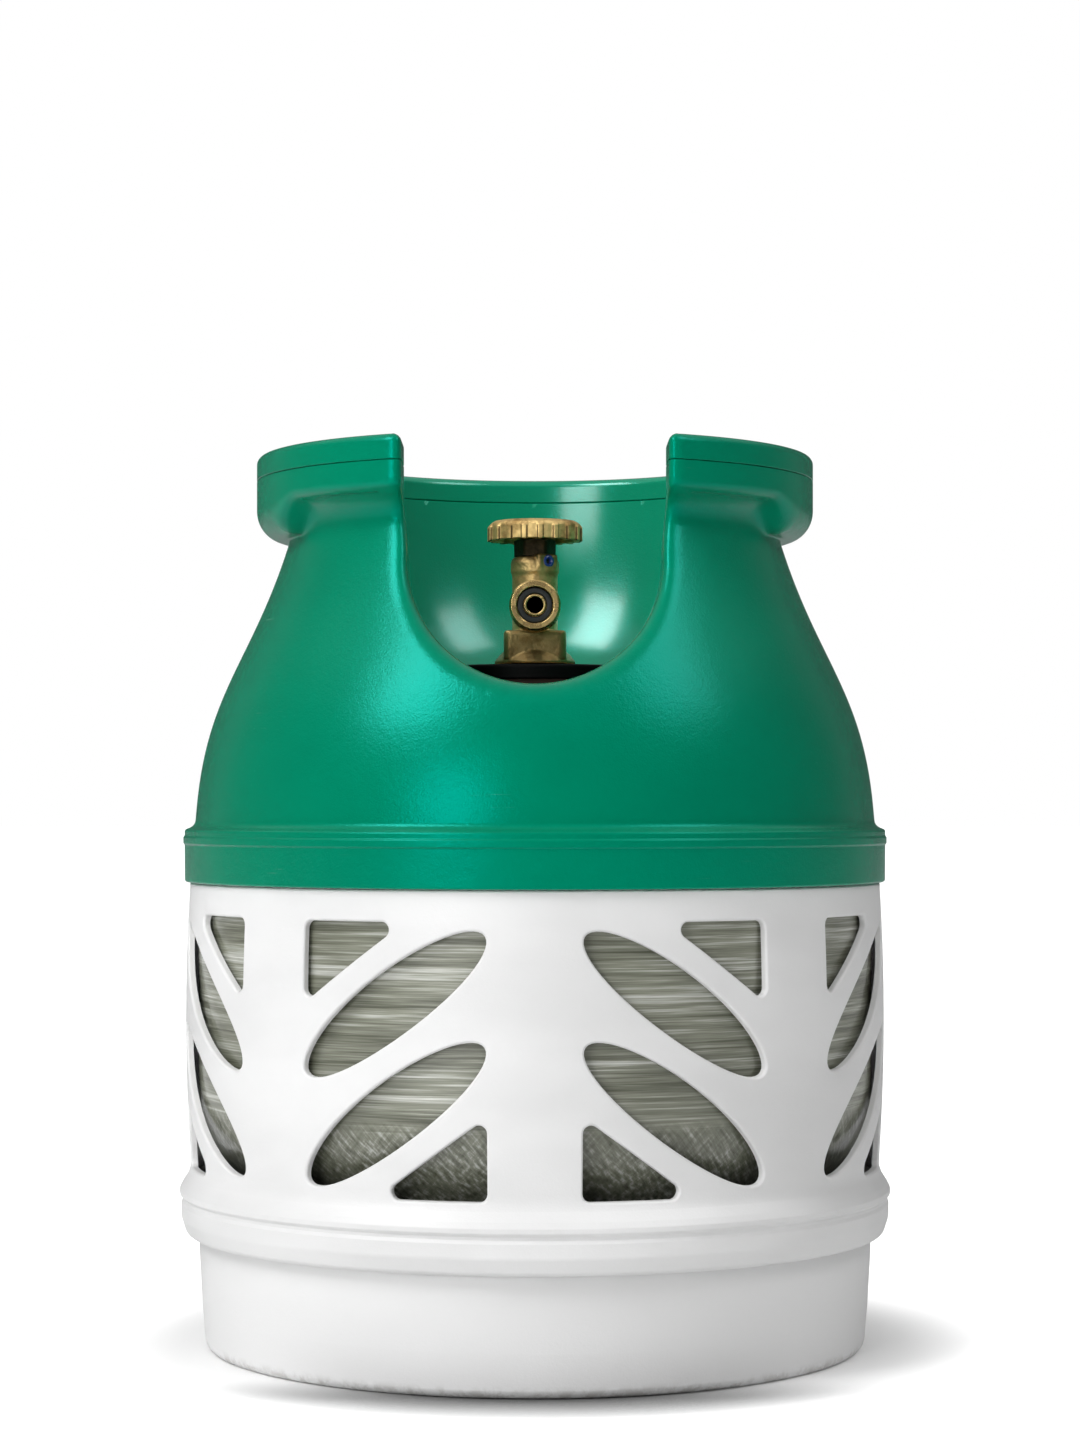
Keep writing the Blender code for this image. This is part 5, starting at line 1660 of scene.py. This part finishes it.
class TANK_OT_relief_valve(bpy.types.Operator):
    """Add the relief valve's dust cap and finish the parts inside its housing"""
    bl_idname = "tank.relief_valve"
    bl_label = "Relief Valve"

    def execute(self, context):
        settings = context.scene.tank_valve
        low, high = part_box("relief_dust_cap")
        flange_z = 0.3203
        plug_r = 0.0054
        cap = Skin()
        hollow_r = 0.0042
        roof_z = flange_z + 0.0003
        dimple_z = high.z - 0.0004
        corners = [(0.0, roof_z, 0), (hollow_r, roof_z, 0.0004), (hollow_r, low.z, 0.0003),
                   (plug_r, low.z, 0.0003), (plug_r, flange_z, 0.0001), (RELIEF_R, flange_z, 0.0002),
                   (RELIEF_R, high.z - 0.0006, 0.0006), (RELIEF_R - 0.0011, high.z, 0.0005),
                   (0.0030, high.z, 0.0003), (0.0027, dimple_z, 0.0002), (0.0, dimple_z, 0)]
        cap.turn(outline(corners), 96, Matrix.Translation((0.0, RELIEF_Y, 0.0)))
        plastic = moulded_plastic("cap_plastic", (0.016, 0.016, 0.017), 0.00004, 0.38)
        add_piece("dust_cap", cap, plastic, "tank", "relief_dust_cap")
        brass = turned_metal("relief_brass", settings.brass, 0.28)
        finish_node("relief_poppet", brass)
        finish_node("relief_adjuster", brass)
        finish_node("relief_spring", turned_metal("spring_steel", (0.45, 0.45, 0.46), 0.24))
        finish_node("relief_seal", soft_rubber("relief_rubber", (0.012, 0.012, 0.012), 0.55))
        return {"FINISHED"}


class TANK_OT_inner_parts(bpy.types.Operator):
    """Finish the parts that stay out of sight inside the vessel and the valve"""
    bl_idname = "tank.inner_parts"
    bl_label = "Inner Parts"

    def execute(self, context):
        settings = context.scene.tank_valve
        natural = moulded_plastic("natural_plastic", (0.72, 0.71, 0.66), 0.00005, 0.45)
        rubber = soft_rubber("packing_rubber", (0.013, 0.013, 0.013), 0.52)
        brass = turned_metal("inner_brass", settings.brass, 0.30)
        finishes = ((natural, ("liner", "thrust_washer", "plug_seat_pad")),
                    (rubber, ("neck_seal", "spindle_seal_lower", "spindle_seal_upper")),
                    (brass, ("neck_boss", "valve_plug")))
        for paint, names in finishes:
            for name in names:
                finish_node(name, paint)
        return {"FINISHED"}


# ================================================================ panel and start
OPERATORS = (TANK_OT_stage, TANK_OT_vessel, TANK_OT_base_cup, TANK_OT_sleeve, TANK_OT_top_casing,
             TANK_OT_grip_cap, TANK_OT_valve_body, TANK_OT_hand_wheel, TANK_OT_gland,
             TANK_OT_relief_valve, TANK_OT_inner_parts)
SETTINGS = {"tank_stage": TankStageSettings, "tank_casing": TankCasingSettings,
            "tank_vessel": TankVesselSettings, "tank_valve": TankValveSettings}


class TANK_PT_panel(bpy.types.Panel):
    """Sizes, colours and pieces of the gas tank"""
    bl_idname = "TANK_PT_panel"
    bl_label = "Composite Gas Tank"
    bl_space_type = "VIEW_3D"
    bl_region_type = "UI"
    bl_category = "Gas Tank"

    def draw(self, context):
        layout = self.layout
        for attribute, group in SETTINGS.items():
            box = layout.box()
            for name in group.__annotations__:
                box.prop(getattr(context.scene, attribute), name)
        for operator in OPERATORS:
            layout.operator(operator.bl_idname)


def register():
    """Register the settings, the operators and the panel."""
    for attribute, group in SETTINGS.items():
        bpy.utils.register_class(group)
        setattr(bpy.types.Scene, attribute, PointerProperty(type=group))
    for made in (*OPERATORS, TANK_PT_panel):
        bpy.utils.register_class(made)


def unregister():
    """Take away what register added."""
    for made in reversed((*OPERATORS, TANK_PT_panel)):
        bpy.utils.unregister_class(made)
    for attribute, group in SETTINGS.items():
        delattr(bpy.types.Scene, attribute)
        bpy.utils.unregister_class(group)


def main():
    """Build the tank and its stage."""
    register()
    for operator in OPERATORS:
        getattr(bpy.ops.tank, operator.bl_idname.split(".")[1])()


if __name__ == "__main__":
    main()
